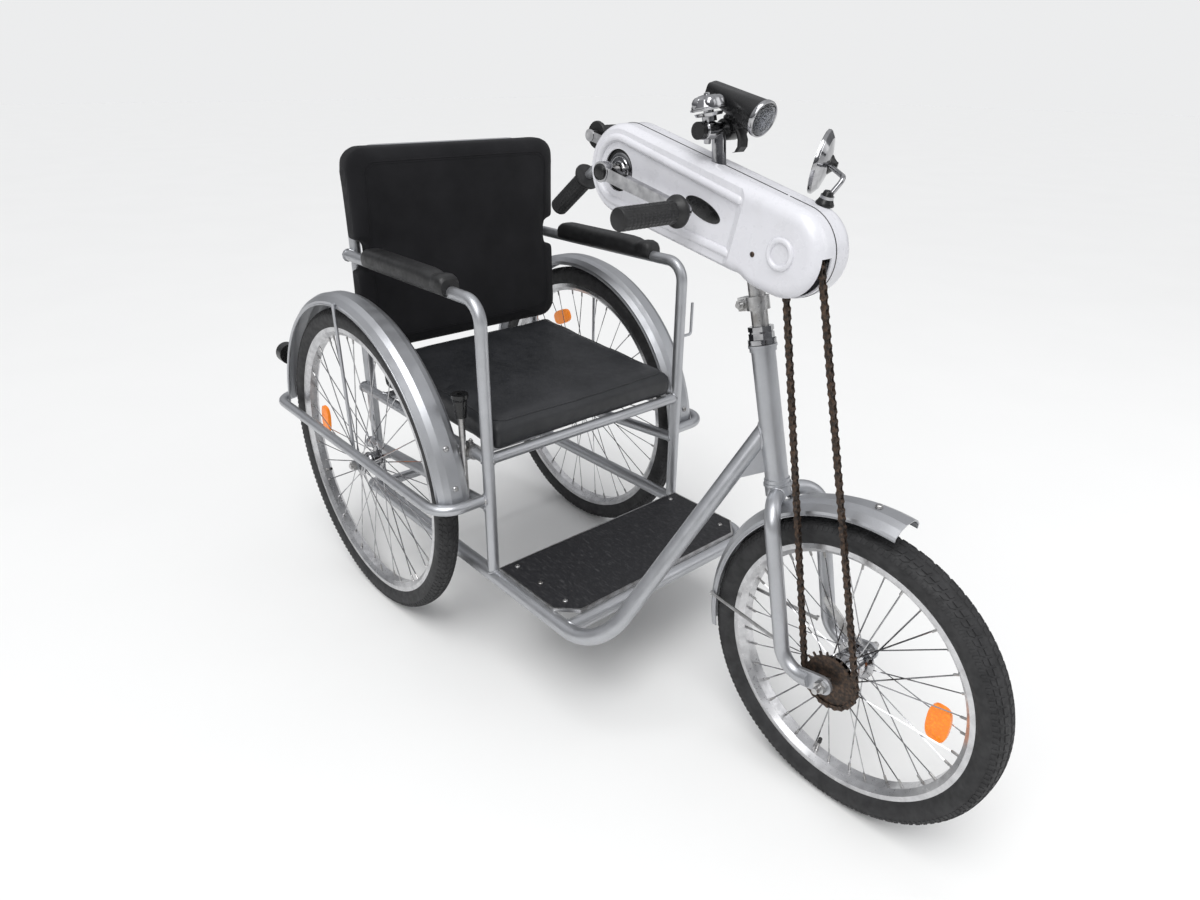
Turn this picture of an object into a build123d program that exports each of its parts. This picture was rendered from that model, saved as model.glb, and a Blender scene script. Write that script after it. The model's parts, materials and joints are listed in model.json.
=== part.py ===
# Hand-cranked tricycle: two plain rear wheels, one steered and driven front wheel,
# a padded chair on a welded tube frame, and a crank housing on the steering column.
# Millimetres. +X is forward, +Y is left, +Z is up. The origin is on the ground,
# under the middle of the tricycle's length and width.
from build123d import *
from math import acos, asin, atan2, cos, hypot, pi, radians, sin
import os

os.makedirs("parts", exist_ok=True)

# Wheels
wheelbase = 980.0
rear_track = 586.0
rear_tyre_radius = 324.0
rear_tyre_width = 42.0
rear_rim_radius = 286.0
rear_rim_width = 30.0
front_tyre_radius = 246.0
front_tyre_width = 54.0
front_rim_radius = 209.0
front_rim_width = 36.0
tyre_foot = 6.0
rim_depth = 17.0
rim_wall = 2.2
rim_flange = 9.0
spoke_count = 36
spoke_radius = 1.2
spoke_lead = 2.5
reflector_length = 62.0
reflector_height = 34.0
reflector_thick = 8.0
fit_gap = 0.3

# Frame tubes
main_tube = 28.0
rail_tube = 26.0
post_tube = 22.0
seat_tube = 20.0
guard_tube = 20.0
side_y = 238.0
back_half = 222.0
rail_z = 206.0
front_post_x = 371.0
back_post_x = -105.0
front_cross_x = 588.0
rail_corner_x = 668.0
rail_bend = 100.0
cross_bend = 45.0
side_tube_front_z = 353.0

# Head tube and steering
head_angle = 14.5
head_low_x = 816.0
head_low_z = 498.0
head_length = 198.0
head_tube = 36.0
head_wall = 3.0
cup_height = 10.0
main_joint_height = 88.0
main_joint_back = 10.0
gusset_low = 24.0
gusset_reach = 96.0
gusset_thick = 4.0
steering_tube = 25.4
bearing_gap = 1.0
stem_tube = 25.0
collar_place = 269.0
collar_height = 20.0
collar_diameter = 34.0
clamp_bolt = 8.0
clamp_bolt_back = 21.0
clamp_bolt_length = 44.0

# Fork
fork_y = 62.0
fork_tube = 24.0
fork_root_y = 12.0
fork_root_up = -14.0
fork_shoulder_up = -8.0
fork_shoulder_ahead = 34.0
fork_corner_x = 909.0
fork_corner_z = 232.0
fork_bend = 40.0
crown_thick = 15.0
crown_radius = 20.0
dropout_thick = 5.0
dropout_width = 30.0
front_axle = 10.0

# Chair
seat_frame_z = 447.0
cushion_width = 444.0
cushion_height = 46.0
cushion_rise = 28.0
cushion_edge = 11.0
seat_back_x = -20.0
armrest_z = 730.0
armrest_bend = 38.0
pad_length = 293.0
pad_width = 44.0
pad_top = 32.0
pad_bottom = 7.0
pad_front_x = 287.0
pad_out = 2.0
pad_edge = 10.0
pad_end = 5.0
back_top_z = 926.0
back_bend = 62.0
backrest_width = 492.0
backrest_height = 402.0
backrest_bottom_z = 536.0
backrest_thick = 46.0
backrest_corner = 40.0
notch_half = 221.5
notch_low = 706.0
notch_high = 764.0
notch_corner = 14.0

# Hooks on the left side: a bent rod out of a tube
hook_rod = 6.0
hook_out = 24.0

# Footboard
board_thick = 5.0
board_back_x = 386.0
board_front_x = 582.0
board_half = 234.0
board_chamfer = 34.0

# Wheel guards and rear fenders
guard_y = 340.0
guard_z = 368.0
guard_front_x = 366.0
guard_rear_x = -366.0
guard_bend = 46.0
guard_end_inset = 26.0
fender_width = 62.0
fender_thick = 1.6
fender_crown = 15.0
fender_lip = 7.0
fender_ridge = 1.0
fender_shoulder = 6.0
fender_radius = 355.5
fender_front_angle = 6.0
fender_rear_angle = 173.0
axle_bar = 12.0
axle_end = 44.0
strut_rod = 7.0
strut_eye = 11.0
strut_eye_thick = 4.0
lamp_z = 464.0
lamp_radius = 24.0
lamp_cup = 26.0
lamp_neck = 11.0

# Front fender
front_fender_x = 996.0
front_fender_z = 251.3
front_fender_radius = 279.0
front_fender_width = 60.0
front_fender_front = 82.0
front_fender_rear = 191.0
stay_angle = 177.0
stay_rod = 6.0
stay_leg_x = 887.0
stay_leg_z = 262.0

# Parking brake lever
lever_x = 317.0
lever_low_z = 352.0
lever_grip_z = 516.0
lever_rod = 12.0
lever_grip_length = 44.0
lever_clamp = 28.0

# Crank housing on the steering column; places along and across run from the crank axle
seam_y = -27.0
case_right = 36.0
case_left = 42.0
case_wall = 2.5
crank_x = 501.0
crank_z = 934.0
case_fall = 14.4
case_half = 67.0
case_edge = 19.0
case_waist_along = 250.0
case_waist_radius = 60.5
case_nose_along = 330.0
case_nose_radius = 61.0
case_belly_along = 298.0
case_belly_radius = 62.5
case_kink = 26.0
face_drop = 4.0
recess_drop = 6.0
face_step = 240.0
face_ramp = 13.0
rib_radius = 6.5
rib_ring = 47.0
rib_front_radius = 37.0
boss_ring = 18.0
boss_section = 4.0
crank_opening = 31.0
axle_radius = 8.0
shell_radius = 20.0
cup_radius = 27.0
crank_length = 172.0
crank_turn = -12.5
crank_reach = 61.0
arm_thick = 12.0
grip_length = 112.0
grip_diameter = 32.0
grip_pin = 10.0
grip_flange = 46.0
grip_flange_thick = 6.0

# Chain from the countershaft down to the wheel
chain_y = -45.0
chain_pitch = 12.7
chain_links = 116
hub_teeth = 22
jack_teeth = 14
chain_lean = 12.55
roller_reach = 3.9
plate_height = 8.4
plate_overlap = 5.6
plate_thick = 1.2
inner_plate_y = 1.7
sprocket_thick = 2.4
tooth_rise = 2.4
layer_gap = 0.1
jack_shaft = 12.0

# Places worked out from the driving sizes
lamp_reach = 394.0
front_reach = wheelbase + front_tyre_radius
ax = (lamp_reach - front_reach) / 2
rear_hub_z = rear_tyre_radius
front_hub_z = front_tyre_radius
lean = radians(head_angle)
up_column = (-sin(lean), 0, cos(lean))
column = Plane(
    origin=(ax + head_low_x, 0, head_low_z),
    x_dir=(cos(lean), 0, sin(lean)),
    z_dir=up_column,
)


def on_column(forward, left, up):
    """A point given along the steering column, in the model's frame."""
    return column.from_local_coords(Vector(forward, left, up))


def bent_tube(points, diameter, bend):
    """A round tube along straight runs whose corners have one bend radius."""
    with BuildPart() as made:
        with BuildLine() as path:
            if len(points) > 2:
                FilletPolyline(*points, radius=bend)
            else:
                Line(*points)
        with BuildSketch(Plane(origin=path.line @ 0, z_dir=path.line % 0)):
            Circle(diameter / 2)
        sweep()
    return made.part


def rod(start, end, diameter):
    """A round bar between two points."""
    start, end = Vector(*start), Vector(*end)
    with BuildPart() as made:
        with BuildSketch(Plane(origin=start, z_dir=end - start)):
            Circle(diameter / 2)
        extrude(amount=(end - start).length)
    return made.part


def axle_plane(centre):
    """A plane through a wheel's axle: its X runs left and its Y runs up."""
    return Plane(origin=centre, x_dir=(0, 1, 0), z_dir=(1, 0, 0))


def axle_line(centre):
    return Axis(centre, (0, 1, 0))


def mirrored(part):
    """The part and its mirror image on the tricycle's other side."""
    return [part, part.mirror(Plane.XZ)]


def turned(origin, axis, profile):
    """A solid turned about an axis, from (radius, height) points along it."""
    axis = Vector(*axis).normalized()
    side = axis.cross(Vector(0, 1, 0) if abs(axis.Y) < 0.9 else Vector(1, 0, 0)).normalized()
    with BuildPart() as made:
        with BuildSketch(Plane(origin=origin, x_dir=side, z_dir=side.cross(axis))):
            Polygon(*profile, align=None)
        revolve(axis=Axis(origin, axis))
    return made.part


def link_plate(first, second, first_radius, second_radius, thick, y):
    """A flat bar between two points of one side plane, with round ends."""
    with BuildPart() as made:
        with BuildSketch(Plane(origin=(0, y, 0), x_dir=(1, 0, 0), z_dir=(0, -1, 0))):
            for point, radius in ((first, first_radius), (second, second_radius)):
                with Locations((point.X, point.Z)):
                    Circle(radius)
            make_hull()
        extrude(amount=thick / 2, both=True)
    return made.part


def name_and_write(part, label):
    part.label = label
    export_step(part, "parts/" + label + ".step")


# Wheels: tyre, rim, hub with its spokes
def make_tyre(centre, radius, width, rim_radius, rim_width):
    """A clincher tyre: beads inside the rim, swelling side walls and a flatter tread."""
    bead = rim_width / 2 - rim_wall - fit_gap
    depth = radius - rim_radius
    rows = [
        (bead, -tyre_foot), (bead, 0.05 * depth), (0.42 * width, 0.28 * depth), (0.5 * width, 0.5 * depth),
        (0.44 * width, 0.78 * depth), (0.27 * width, 0.93 * depth), (0.1 * width, depth),
    ]
    right = [(across, rim_radius + out) for across, out in rows]
    left = [(-across, out) for across, out in reversed(right)]
    with BuildPart() as tyre:
        with BuildSketch(axle_plane(centre)):
            Polygon(*right, *left, align=None)
        revolve(axis=axle_line(centre))
    return tyre.part


def make_rim(centre, rim_radius, rim_width):
    """A channel rim with straight flanges and a narrower well."""
    half = rim_width / 2
    well = half * 0.55
    floor = rim_radius - rim_depth
    shoulder = rim_radius - rim_flange
    outer = [(half, rim_radius), (half, shoulder), (well, floor)]
    inner = [
        (well - rim_wall, floor + rim_wall), (half - rim_wall, shoulder + 1), (half - rim_wall, rim_radius),
    ]
    outline = outer + [(-across, out) for across, out in reversed(outer)]
    outline += [(-across, out) for across, out in reversed(inner)] + inner
    with BuildPart() as rim:
        with BuildSketch(axle_plane(centre)):
            Polygon(*outline, align=None)
        revolve(axis=axle_line(centre))
    return rim.part


def make_spoked_hub(centre, rim_radius, shell, flange, flange_y, end_y, bore):
    """A hub shell with two flanges, and crossed spokes out to the rim's well."""
    reach = rim_radius - rim_depth
    hole = flange - 4
    neck = shell * 0.72
    crossing = 360 / spoke_count * spoke_lead
    half = [
        (end_y, bore), (end_y, neck), (flange_y + 2, neck), (flange_y + 2, flange),
        (flange_y - 2, flange), (flange_y - 5, shell),
    ]
    with BuildPart() as hub:
        with BuildSketch(axle_plane(centre)):
            Polygon(*half, *[(-across, out) for across, out in reversed(half)], align=None)
        revolve(axis=axle_line(centre))
        for k in range(spoke_count):
            side = 1 if k % 2 else -1
            lead = crossing if (k // 2) % 2 else -crossing
            rim_turn = radians(360 * k / spoke_count)
            hub_turn = rim_turn + radians(lead)
            start = centre + Vector(hole * sin(hub_turn), side * flange_y, hole * cos(hub_turn))
            end = centre + Vector(reach * sin(rim_turn), side * 3, reach * cos(rim_turn))
            with BuildSketch(Plane(origin=start, z_dir=end - start)):
                RegularPolygon(radius=spoke_radius, side_count=4)
            extrude(amount=(end - start).length - fit_gap)
    return hub.part


def make_reflector(centre, rim_radius, angle):
    """An oval spoke reflector, held between the spokes."""
    place = rim_radius * 0.72
    out = Vector(cos(radians(angle)), 0, sin(radians(angle)))
    with BuildPart() as reflector:
        with BuildSketch(Plane(origin=centre + out * place, x_dir=out, z_dir=(0, -1, 0))):
            SlotOverall(reflector_length, reflector_height)
        extrude(amount=reflector_thick / 2, both=True)
    return reflector.part


front_centre = Vector(ax + wheelbase, 0, front_hub_z)
rear_centres = {
    "right": Vector(ax, -rear_track / 2, rear_hub_z),
    "left": Vector(ax, rear_track / 2, rear_hub_z),
}
for name, centre in rear_centres.items():
    rear_tyre = make_tyre(centre, rear_tyre_radius, rear_tyre_width, rear_rim_radius, rear_rim_width)
    name_and_write(rear_tyre, "rear_tyre_" + name)
    name_and_write(make_rim(centre, rear_rim_radius, rear_rim_width), "rear_rim_" + name)
    rear_hub = make_spoked_hub(centre, rear_rim_radius, 17.0, 24.0, 21.0, 27.0, 7.0)
    name_and_write(rear_hub, "rear_hub_" + name)
front_tyre = make_tyre(front_centre, front_tyre_radius, front_tyre_width, front_rim_radius, front_rim_width)
name_and_write(front_tyre, "front_tyre")
name_and_write(make_rim(front_centre, front_rim_radius, front_rim_width), "front_rim")
name_and_write(make_spoked_hub(front_centre, front_rim_radius, 23.0, 31.0, 26.0, 34.0, 5.5), "front_hub")

reflector_rows = [
    ("rear_reflector_right", rear_centres["right"], 171.5, rear_rim_radius),
    ("rear_reflector_left", rear_centres["left"], 113.0, rear_rim_radius),
    ("front_reflector", front_centre, -1.0, front_rim_radius),
]
for label, centre, angle, size in reflector_rows:
    name_and_write(make_reflector(centre, size, angle), label)

# Head tube with stepped cups and the steering bore through it
head_top = head_length + 2 * cup_height
cup_rows = [
    (0.0, 4.0, 43.0), (4.0, 6.0, 40.0), (head_top - 10.0, 6.0, 40.0), (head_top - 4.0, 4.0, 43.0),
]
with BuildPart() as head_outer:
    with BuildSketch(column):
        Circle(head_tube / 2)
    extrude(amount=head_top)
with BuildPart() as head:
    add(head_outer.part)
    for up, height, diameter in cup_rows:
        with BuildSketch(column.offset(up)):
            Circle(diameter / 2)
        extrude(amount=height)
    with BuildSketch(column):
        Circle(head_tube / 2 - head_wall)
    extrude(amount=head_top, mode=Mode.SUBTRACT)
name_and_write(head.part, "head_tube")

# Main tube: from the head tube down to the right, round one bend, and back as the right rail
rail_end_x = ax + back_post_x
main_joint = on_column(-main_joint_back, 0, main_joint_height)
rail_corner = Vector(ax + rail_corner_x, -side_y, rail_z)
main_bent = bent_tube(
    [(rail_end_x - rail_tube / 2, -side_y, rail_z), tuple(rail_corner), tuple(main_joint)],
    main_tube, rail_bend,
)
with BuildPart() as main:
    add(main_bent)
    add(head_outer.part, mode=Mode.SUBTRACT)
name_and_write(main.part, "main_tube")

# Gusset plate in the corner under the main tube
main_run = (rail_corner - main_joint).normalized()
gusset_corner = on_column(0, 0, main_joint_height)
gusset_down = Vector(*up_column) * -1
gusset_side = (main_run - gusset_down * main_run.dot(gusset_down)).normalized()
gusset_plane = Plane(origin=gusset_corner, x_dir=gusset_down, z_dir=gusset_down.cross(gusset_side))
gusset_foot = main_run * gusset_reach
with BuildPart() as gusset:
    with BuildSketch(gusset_plane):
        Polygon(
            (0, 0), (main_joint_height - gusset_low, 0),
            (gusset_foot.dot(gusset_down), gusset_foot.dot(gusset_side)), align=None,
        )
    extrude(amount=gusset_thick / 2, both=True)
    add(head.part, mode=Mode.SUBTRACT)
    with BuildSketch(column):
        Circle(head_tube / 2)
    extrude(amount=head_top, mode=Mode.SUBTRACT)
    add(main_bent, mode=Mode.SUBTRACT)
name_and_write(gusset.part, "head_gusset")

# Left rail with the front cross tube as one bent tube, and the rear cross tube
left_bent = bent_tube(
    [(rail_end_x - rail_tube / 2, side_y, rail_z), (ax + front_cross_x, side_y, rail_z),
     (ax + front_cross_x, -side_y, rail_z)],
    rail_tube, cross_bend,
)
rear_cross = bent_tube([(rail_end_x, side_y, rail_z), (rail_end_x, -side_y, rail_z)], post_tube, 0)
with BuildPart() as lower:
    add(left_bent)
    add(rear_cross)
    add(main_bent, mode=Mode.SUBTRACT)
name_and_write(lower.part, "lower_frame")

# Armrest tubes: each a front post, bent back at the top to the chair's back
post_x = ax + front_post_x
back_x = ax + back_post_x
arm_bent = bent_tube(
    [(post_x, -side_y, rail_z), (post_x, -side_y, armrest_z), (back_x, -side_y, armrest_z)],
    post_tube, armrest_bend,
)
back_loop = bent_tube(
    [(back_x, -back_half, rail_z), (back_x, -back_half, back_top_z), (back_x, back_half, back_top_z),
     (back_x, back_half, rail_z)],
    post_tube, back_bend,
)
with BuildPart() as armrests:
    for piece in mirrored(arm_bent):
        add(piece)
    for piece in (main_bent, left_bent, back_loop):
        add(piece, mode=Mode.SUBTRACT)
name_and_write(armrests.part, "armrest_tubes")

with BuildPart() as back_frame:
    add(back_loop)
    for piece in (main_bent, left_bent, rear_cross):
        add(piece, mode=Mode.SUBTRACT)
name_and_write(back_frame.part, "back_frame")

# Side tubes that carry the rear axles, and the stub axles with their nuts
side_slope = (side_tube_front_z - rear_hub_z) / front_post_x
side_bent = bent_tube(
    [(back_x, -side_y, rear_hub_z + side_slope * back_post_x), (post_x, -side_y, side_tube_front_z)],
    post_tube, 0,
)
with BuildPart() as side_tubes:
    for piece in mirrored(side_bent):
        add(piece)
    add(armrests.part, mode=Mode.SUBTRACT)
    add(back_loop, mode=Mode.SUBTRACT)
name_and_write(side_tubes.part, "side_tubes")

strut_eye_y = rear_track / 2 + 29.0
axle_tip_y = rear_track / 2 + axle_end
axle_nut_y = strut_eye_y + strut_eye_thick + fit_gap
with BuildPart() as axles:
    for side in (-1, 1):
        add(rod((ax, side * side_y, rear_hub_z), (ax, side * axle_tip_y, rear_hub_z), axle_bar))
        with BuildSketch(Plane(origin=(ax, side * axle_nut_y, rear_hub_z), z_dir=(0, side, 0))):
            RegularPolygon(radius=11, side_count=6)
        extrude(amount=7)
    add(side_tubes.part, mode=Mode.SUBTRACT)
name_and_write(axles.part, "rear_axles")

# Seat frame: rails and cross tubes at one level
seat_rail = bent_tube([(back_x, -side_y, seat_frame_z), (post_x, -side_y, seat_frame_z)], seat_tube, 0)
with BuildPart() as seat_frame:
    for piece in mirrored(seat_rail):
        add(piece)
    for x in (post_x, ax + seat_back_x):
        add(bent_tube([(x, -side_y, seat_frame_z), (x, side_y, seat_frame_z)], seat_tube, 0))
    for piece in mirrored(arm_bent) + [back_loop]:
        add(piece, mode=Mode.SUBTRACT)
name_and_write(seat_frame.part, "seat_frame")

# Seat cushion
seat_top = seat_frame_z + seat_tube / 2
cushion_back_x = ax + seat_back_x - 30
cushion_low = seat_top + fit_gap
with BuildPart() as cushion:
    with BuildSketch(Plane.XZ.offset(-cushion_width / 2)):
        Polygon(
            (cushion_back_x, cushion_low),
            (post_x + 3, cushion_low),
            (post_x + 3, cushion_low + cushion_height),
            (cushion_back_x, cushion_low + cushion_height + cushion_rise),
            align=None,
        )
    extrude(amount=cushion_width)
    fillet(cushion.edges(), cushion_edge)
name_and_write(cushion.part, "seat_cushion")

# Backrest: wider than the back tubes, with a rounded notch where each armrest tube passes
rest_x = back_x + post_tube / 2 + fit_gap
notch_depth = backrest_width / 2 - notch_half
with BuildPart() as backrest:
    with BuildSketch(Plane.YZ.offset(rest_x)):
        with Locations((0, backrest_bottom_z + backrest_height / 2)):
            RectangleRounded(backrest_width, backrest_height, backrest_corner)
        for side in (-1, 1):
            with Locations((side * (notch_half + notch_depth), (notch_low + notch_high) / 2)):
                RectangleRounded(2 * notch_depth, notch_high - notch_low, notch_corner, mode=Mode.SUBTRACT)
    extrude(amount=backrest_thick)
    chamfer(backrest.faces().sort_by(Axis.X)[0].edges(), 4)
    chamfer(backrest.faces().sort_by(Axis.X)[-1].edges(), 8, 5)
name_and_write(backrest.part, "backrest")

# Armrest pads: rounded bars that wrap over the tubes
pad_y = -side_y - pad_out
with BuildPart() as pad:
    with BuildSketch(Plane.YZ.offset(ax + pad_front_x - pad_length)):
        with Locations((pad_y, armrest_z + (pad_top - pad_bottom) / 2)):
            RectangleRounded(pad_width, pad_top + pad_bottom, pad_edge)
        with Locations((-side_y, armrest_z)):
            Circle(post_tube / 2 + fit_gap, mode=Mode.SUBTRACT)
        with Locations((-side_y, armrest_z - pad_bottom)):
            Rectangle(post_tube + 2 * fit_gap, 2 * pad_bottom, mode=Mode.SUBTRACT)
    extrude(amount=pad_length)
    pad_ends = pad.faces().sort_by(Axis.X)
    end_edges = pad_ends[0].edges() + pad_ends[-1].edges()
    chamfer([edge for edge in end_edges if edge.center().Z > armrest_z + post_tube / 2 + 3], pad_end)
with BuildPart() as pads:
    for piece in mirrored(pad.part):
        add(piece)
name_and_write(pads.part, "armrest_pads")

# Footboard on the rails, with its front corners cut
board_z = rail_z + main_tube / 2 + fit_gap
board_back = ax + board_back_x
board_front = ax + board_front_x
board_side = board_half - board_chamfer
board_cut = board_front - board_chamfer
with BuildPart() as footboard:
    with BuildSketch(Plane.XY.offset(board_z)):
        Polygon(
            (board_back, -board_half), (board_cut, -board_half), (board_front, -board_side),
            (board_front, board_side), (board_cut, board_half), (board_back, board_half), align=None,
        )
    extrude(amount=board_thick)
name_and_write(footboard.part, "footboard")

# Wheel guards: from each front post out round the wheel to the fender's rear end
guard_end_y = rear_track / 2 - guard_end_inset
guard_bent = bent_tube(
    [(ax + guard_front_x, -side_y, guard_z), (ax + guard_front_x, -guard_y, guard_z),
     (ax + guard_rear_x, -guard_y, guard_z), (ax + guard_rear_x, -guard_end_y, guard_z)],
    guard_tube, guard_bend,
)
with BuildPart() as guards:
    for piece in mirrored(guard_bent):
        add(piece)
    for piece in mirrored(arm_bent) + mirrored(side_bent):
        add(piece, mode=Mode.SUBTRACT)
name_and_write(guards.part, "wheel_guards")


def make_fender(centre, radius, width, start, end):
    """A crowned strip with turned-down lips, turned about a wheel's axle by a part of a circle."""
    half = width / 2
    edge = radius - fender_crown
    lip = edge - fender_lip
    outer = [(half, lip), (half, edge), (half * 0.72, radius - fender_shoulder)]
    outer += [(half * 0.36, radius - fender_ridge)]
    outline = outer + [(-across, out) for across, out in reversed(outer)]
    inner = [(across - fender_thick, out - fender_thick) for across, out in outer]
    inner[0] = (half - fender_thick, lip)
    outline += [(-across, out) for across, out in inner] + list(reversed(inner))
    facing = Vector(sin(radians(start)), 0, -cos(radians(start)))
    with BuildPart() as fender:
        with BuildSketch(Plane(origin=centre, x_dir=(0, 1, 0), z_dir=facing)):
            Polygon(*outline, align=None)
        revolve(axis=Axis(centre, (0, -1, 0)), revolution_arc=end - start)
    return fender.part


rear_fender = make_fender(
    rear_centres["right"], fender_radius, fender_width, fender_front_angle, fender_rear_angle
)
with BuildPart() as fenders:
    for piece in mirrored(rear_fender):
        add(piece)
name_and_write(fenders.part, "rear_fenders")

# Fender struts outside the rear wheels, from the axle's end up to the fender's outer lip
strut_top_z = rear_hub_z + fender_radius - fender_crown + 3
strut_top_y = rear_track / 2 + fender_width / 2 + strut_rod / 2 + fit_gap
strut_low_y = strut_eye_y + strut_eye_thick / 2
with BuildPart() as struts:
    for side in (-1, 1):
        add(rod(
            (ax, side * strut_low_y, rear_hub_z + strut_eye / 2),
            (ax, side * strut_top_y, strut_top_z), strut_rod,
        ))
        with BuildSketch(Plane(origin=(ax, side * strut_eye_y, rear_hub_z), z_dir=(0, side, 0))):
            Circle(strut_eye)
        extrude(amount=strut_eye_thick)
        with BuildSketch(Plane(origin=(ax, side * (strut_eye_y - 2), rear_hub_z), z_dir=(0, side, 0))):
            Circle(axle_bar / 2 + fit_gap)
        extrude(amount=strut_eye_thick + 8, mode=Mode.SUBTRACT)
    add(axles.part, mode=Mode.SUBTRACT)
name_and_write(struts.part, "fender_struts")

# Rear lamp on the right fender: a short cup on a neck
lamp_turn = asin((lamp_z - rear_hub_z) / fender_radius)
lamp_face = ax - lamp_reach
lamp_foot = ax - fender_radius * cos(lamp_turn) + 15
lamp_rows = [
    (lamp_face, lamp_face + lamp_cup, lamp_radius),
    (lamp_face + lamp_cup / 2, lamp_foot, lamp_neck),
]
with BuildPart() as rear_lamp:
    for start, end, radius in lamp_rows:
        with BuildSketch(Plane(origin=(start, -rear_track / 2, lamp_z), z_dir=(1, 0, 0))):
            Circle(radius)
        extrude(amount=end - start)
    with BuildSketch(Plane(origin=rear_centres["right"], z_dir=(0, 1, 0))):
        Circle(fender_radius - fender_ridge)
    extrude(amount=fender_width / 2, both=True, mode=Mode.SUBTRACT)
name_and_write(rear_lamp.part, "rear_lamp")

# Parking brake lever beside the right front post, clamped to the seat rail
lever_at = ax + lever_x
lever_y = -side_y - seat_tube / 2 - lever_rod / 2 - fit_gap
with BuildPart() as lever:
    clamp_ends = [(lever_at + way * lever_clamp / 2, -side_y, seat_frame_z) for way in (-1, 1)]
    add(rod(*clamp_ends, lever_clamp))
    add(rod((lever_at, lever_y, lever_low_z), (lever_at, lever_y, lever_grip_z), lever_rod))
    add(seat_rail, mode=Mode.SUBTRACT)
name_and_write(lever.part, "brake_lever")
knob_top = lever_grip_length
lever_grip = turned(
    (lever_at, lever_y, lever_grip_z + fit_gap), (0, 0, 1),
    [(0, 0), (10, 0), (12.5, knob_top - 12), (15.5, knob_top - 7), (15.5, knob_top), (5, knob_top),
     (5, knob_top - 8), (0, knob_top - 8)],
)
name_and_write(lever_grip, "brake_lever_grip")

# Bent rod hooks on the left front post and the left back tube
hook_rows = [
    (post_x, side_y, 579.0, 66.0),
    (back_x, back_half, 763.0, 40.0),
]
with BuildPart() as hooks:
    for x, y, z, rise in hook_rows:
        far = side_y + post_tube / 2 + hook_out
        add(bent_tube([(x, y, z), (x, far, z), (x, far, z + rise)], hook_rod, hook_rod))
    for piece in mirrored(arm_bent) + [back_loop]:
        add(piece, mode=Mode.SUBTRACT)
name_and_write(hooks.part, "side_hook")

# Fork: crown, two tubes that run down to the axle, and the steering tube
crown_low = -bearing_gap - crown_thick
locknut_rows = [(7.0, 42.0, 0), (9.0, 38.0, 8), (3.0, 35.0, 0), (7.0, 38.0, 8)]
locknut_height = sum(height for height, _, _ in locknut_rows)
steerer_top = head_top + bearing_gap + locknut_height
axle_x = ax + wheelbase
corner = Vector(ax + fork_corner_x, -fork_y, fork_corner_z)
wheel_axle = Vector(axle_x, -fork_y, front_hub_z)
toward_axle = (wheel_axle - corner).normalized()
leg = bent_tube(
    [tuple(on_column(fork_root_y / 2, -fork_root_y, fork_root_up)),
     tuple(on_column(fork_shoulder_ahead, -fork_y, fork_shoulder_up)), tuple(corner),
     tuple(wheel_axle - toward_axle * 24)],
    fork_tube, fork_bend,
)
dropout = link_plate(
    wheel_axle - toward_axle * 38, wheel_axle, dropout_width / 2, dropout_width / 2, dropout_thick, -fork_y
)
with BuildPart() as fork:
    with BuildSketch(column.offset(crown_low)):
        Circle(crown_radius)
    extrude(amount=crown_thick)
    for piece in mirrored(leg) + mirrored(dropout):
        add(piece)
    with BuildSketch(column.offset(crown_low)):
        Circle(steering_tube / 2)
    extrude(amount=steerer_top - crown_low)
    with BuildSketch(Plane(origin=(axle_x, 0, front_hub_z), z_dir=(0, 1, 0))):
        Circle(front_axle / 2 + fit_gap)
    extrude(amount=fork_y + fork_tube, both=True, mode=Mode.SUBTRACT)
name_and_write(fork.part, "fork")

with BuildPart() as locknut:
    level = head_top + bearing_gap
    for height, diameter, sides in locknut_rows:
        with BuildSketch(column.offset(level)):
            if sides:
                RegularPolygon(radius=diameter / 2, side_count=sides)
            else:
                Circle(diameter / 2)
        extrude(amount=height)
        level += height
    with BuildSketch(column.offset(head_top)):
        Circle(steering_tube / 2 + fit_gap)
    extrude(amount=locknut_height + 10, mode=Mode.SUBTRACT)
name_and_write(locknut.part, "headset_locknut")

# Front axle, with nuts outside the fork ends
with BuildPart() as front_shaft:
    add(rod((axle_x, -fork_y - 22, front_hub_z), (axle_x, fork_y + 22, front_hub_z), front_axle))
    for side in (-1, 1):
        start = side * (fork_y + dropout_thick / 2 + fit_gap)
        with BuildSketch(Plane(origin=(axle_x, start, front_hub_z), z_dir=(0, side, 0))):
            RegularPolygon(radius=10, side_count=6)
        extrude(amount=9)
name_and_write(front_shaft.part, "front_axle")

# Front fender under the crown, with a stay on each side
fender_centre = Vector(ax + front_fender_x, 0, front_fender_z)
front_fender = make_fender(
    fender_centre, front_fender_radius, front_fender_width, front_fender_front, front_fender_rear
)
name_and_write(front_fender, "front_fender")
stay_y = front_fender_width / 2 + stay_rod / 2
stay_far = front_fender_radius - fender_crown
stay_turn = radians(stay_angle)
stay_start = fender_centre + Vector(stay_far * cos(stay_turn), -stay_y, stay_far * sin(stay_turn))
stay_end = (ax + stay_leg_x, -fork_y + fork_tube / 2 + stay_rod / 2 - 1, stay_leg_z)
with BuildPart() as front_stays:
    for piece in mirrored(rod(tuple(stay_start), stay_end, stay_rod)):
        add(piece)
    add(fork.part, mode=Mode.SUBTRACT)
    add(front_fender, mode=Mode.SUBTRACT)
name_and_write(front_stays.part, "front_fender_stays")

# Crank housing: two moulded halves that meet in one upright plane
case_turn = radians(case_fall)
case_along = Vector(cos(case_turn), 0, -sin(case_turn))
case_up = Vector(sin(case_turn), 0, cos(case_turn))
case_plane = Plane(origin=(ax + crank_x, seam_y, crank_z), x_dir=tuple(case_along), z_dir=(0, -1, 0))
outline_hulls = [
    [(0.0, case_half), (case_waist_along, case_waist_radius)],
    [(case_belly_along, case_belly_radius), (case_nose_along, case_nose_radius)],
]


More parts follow.
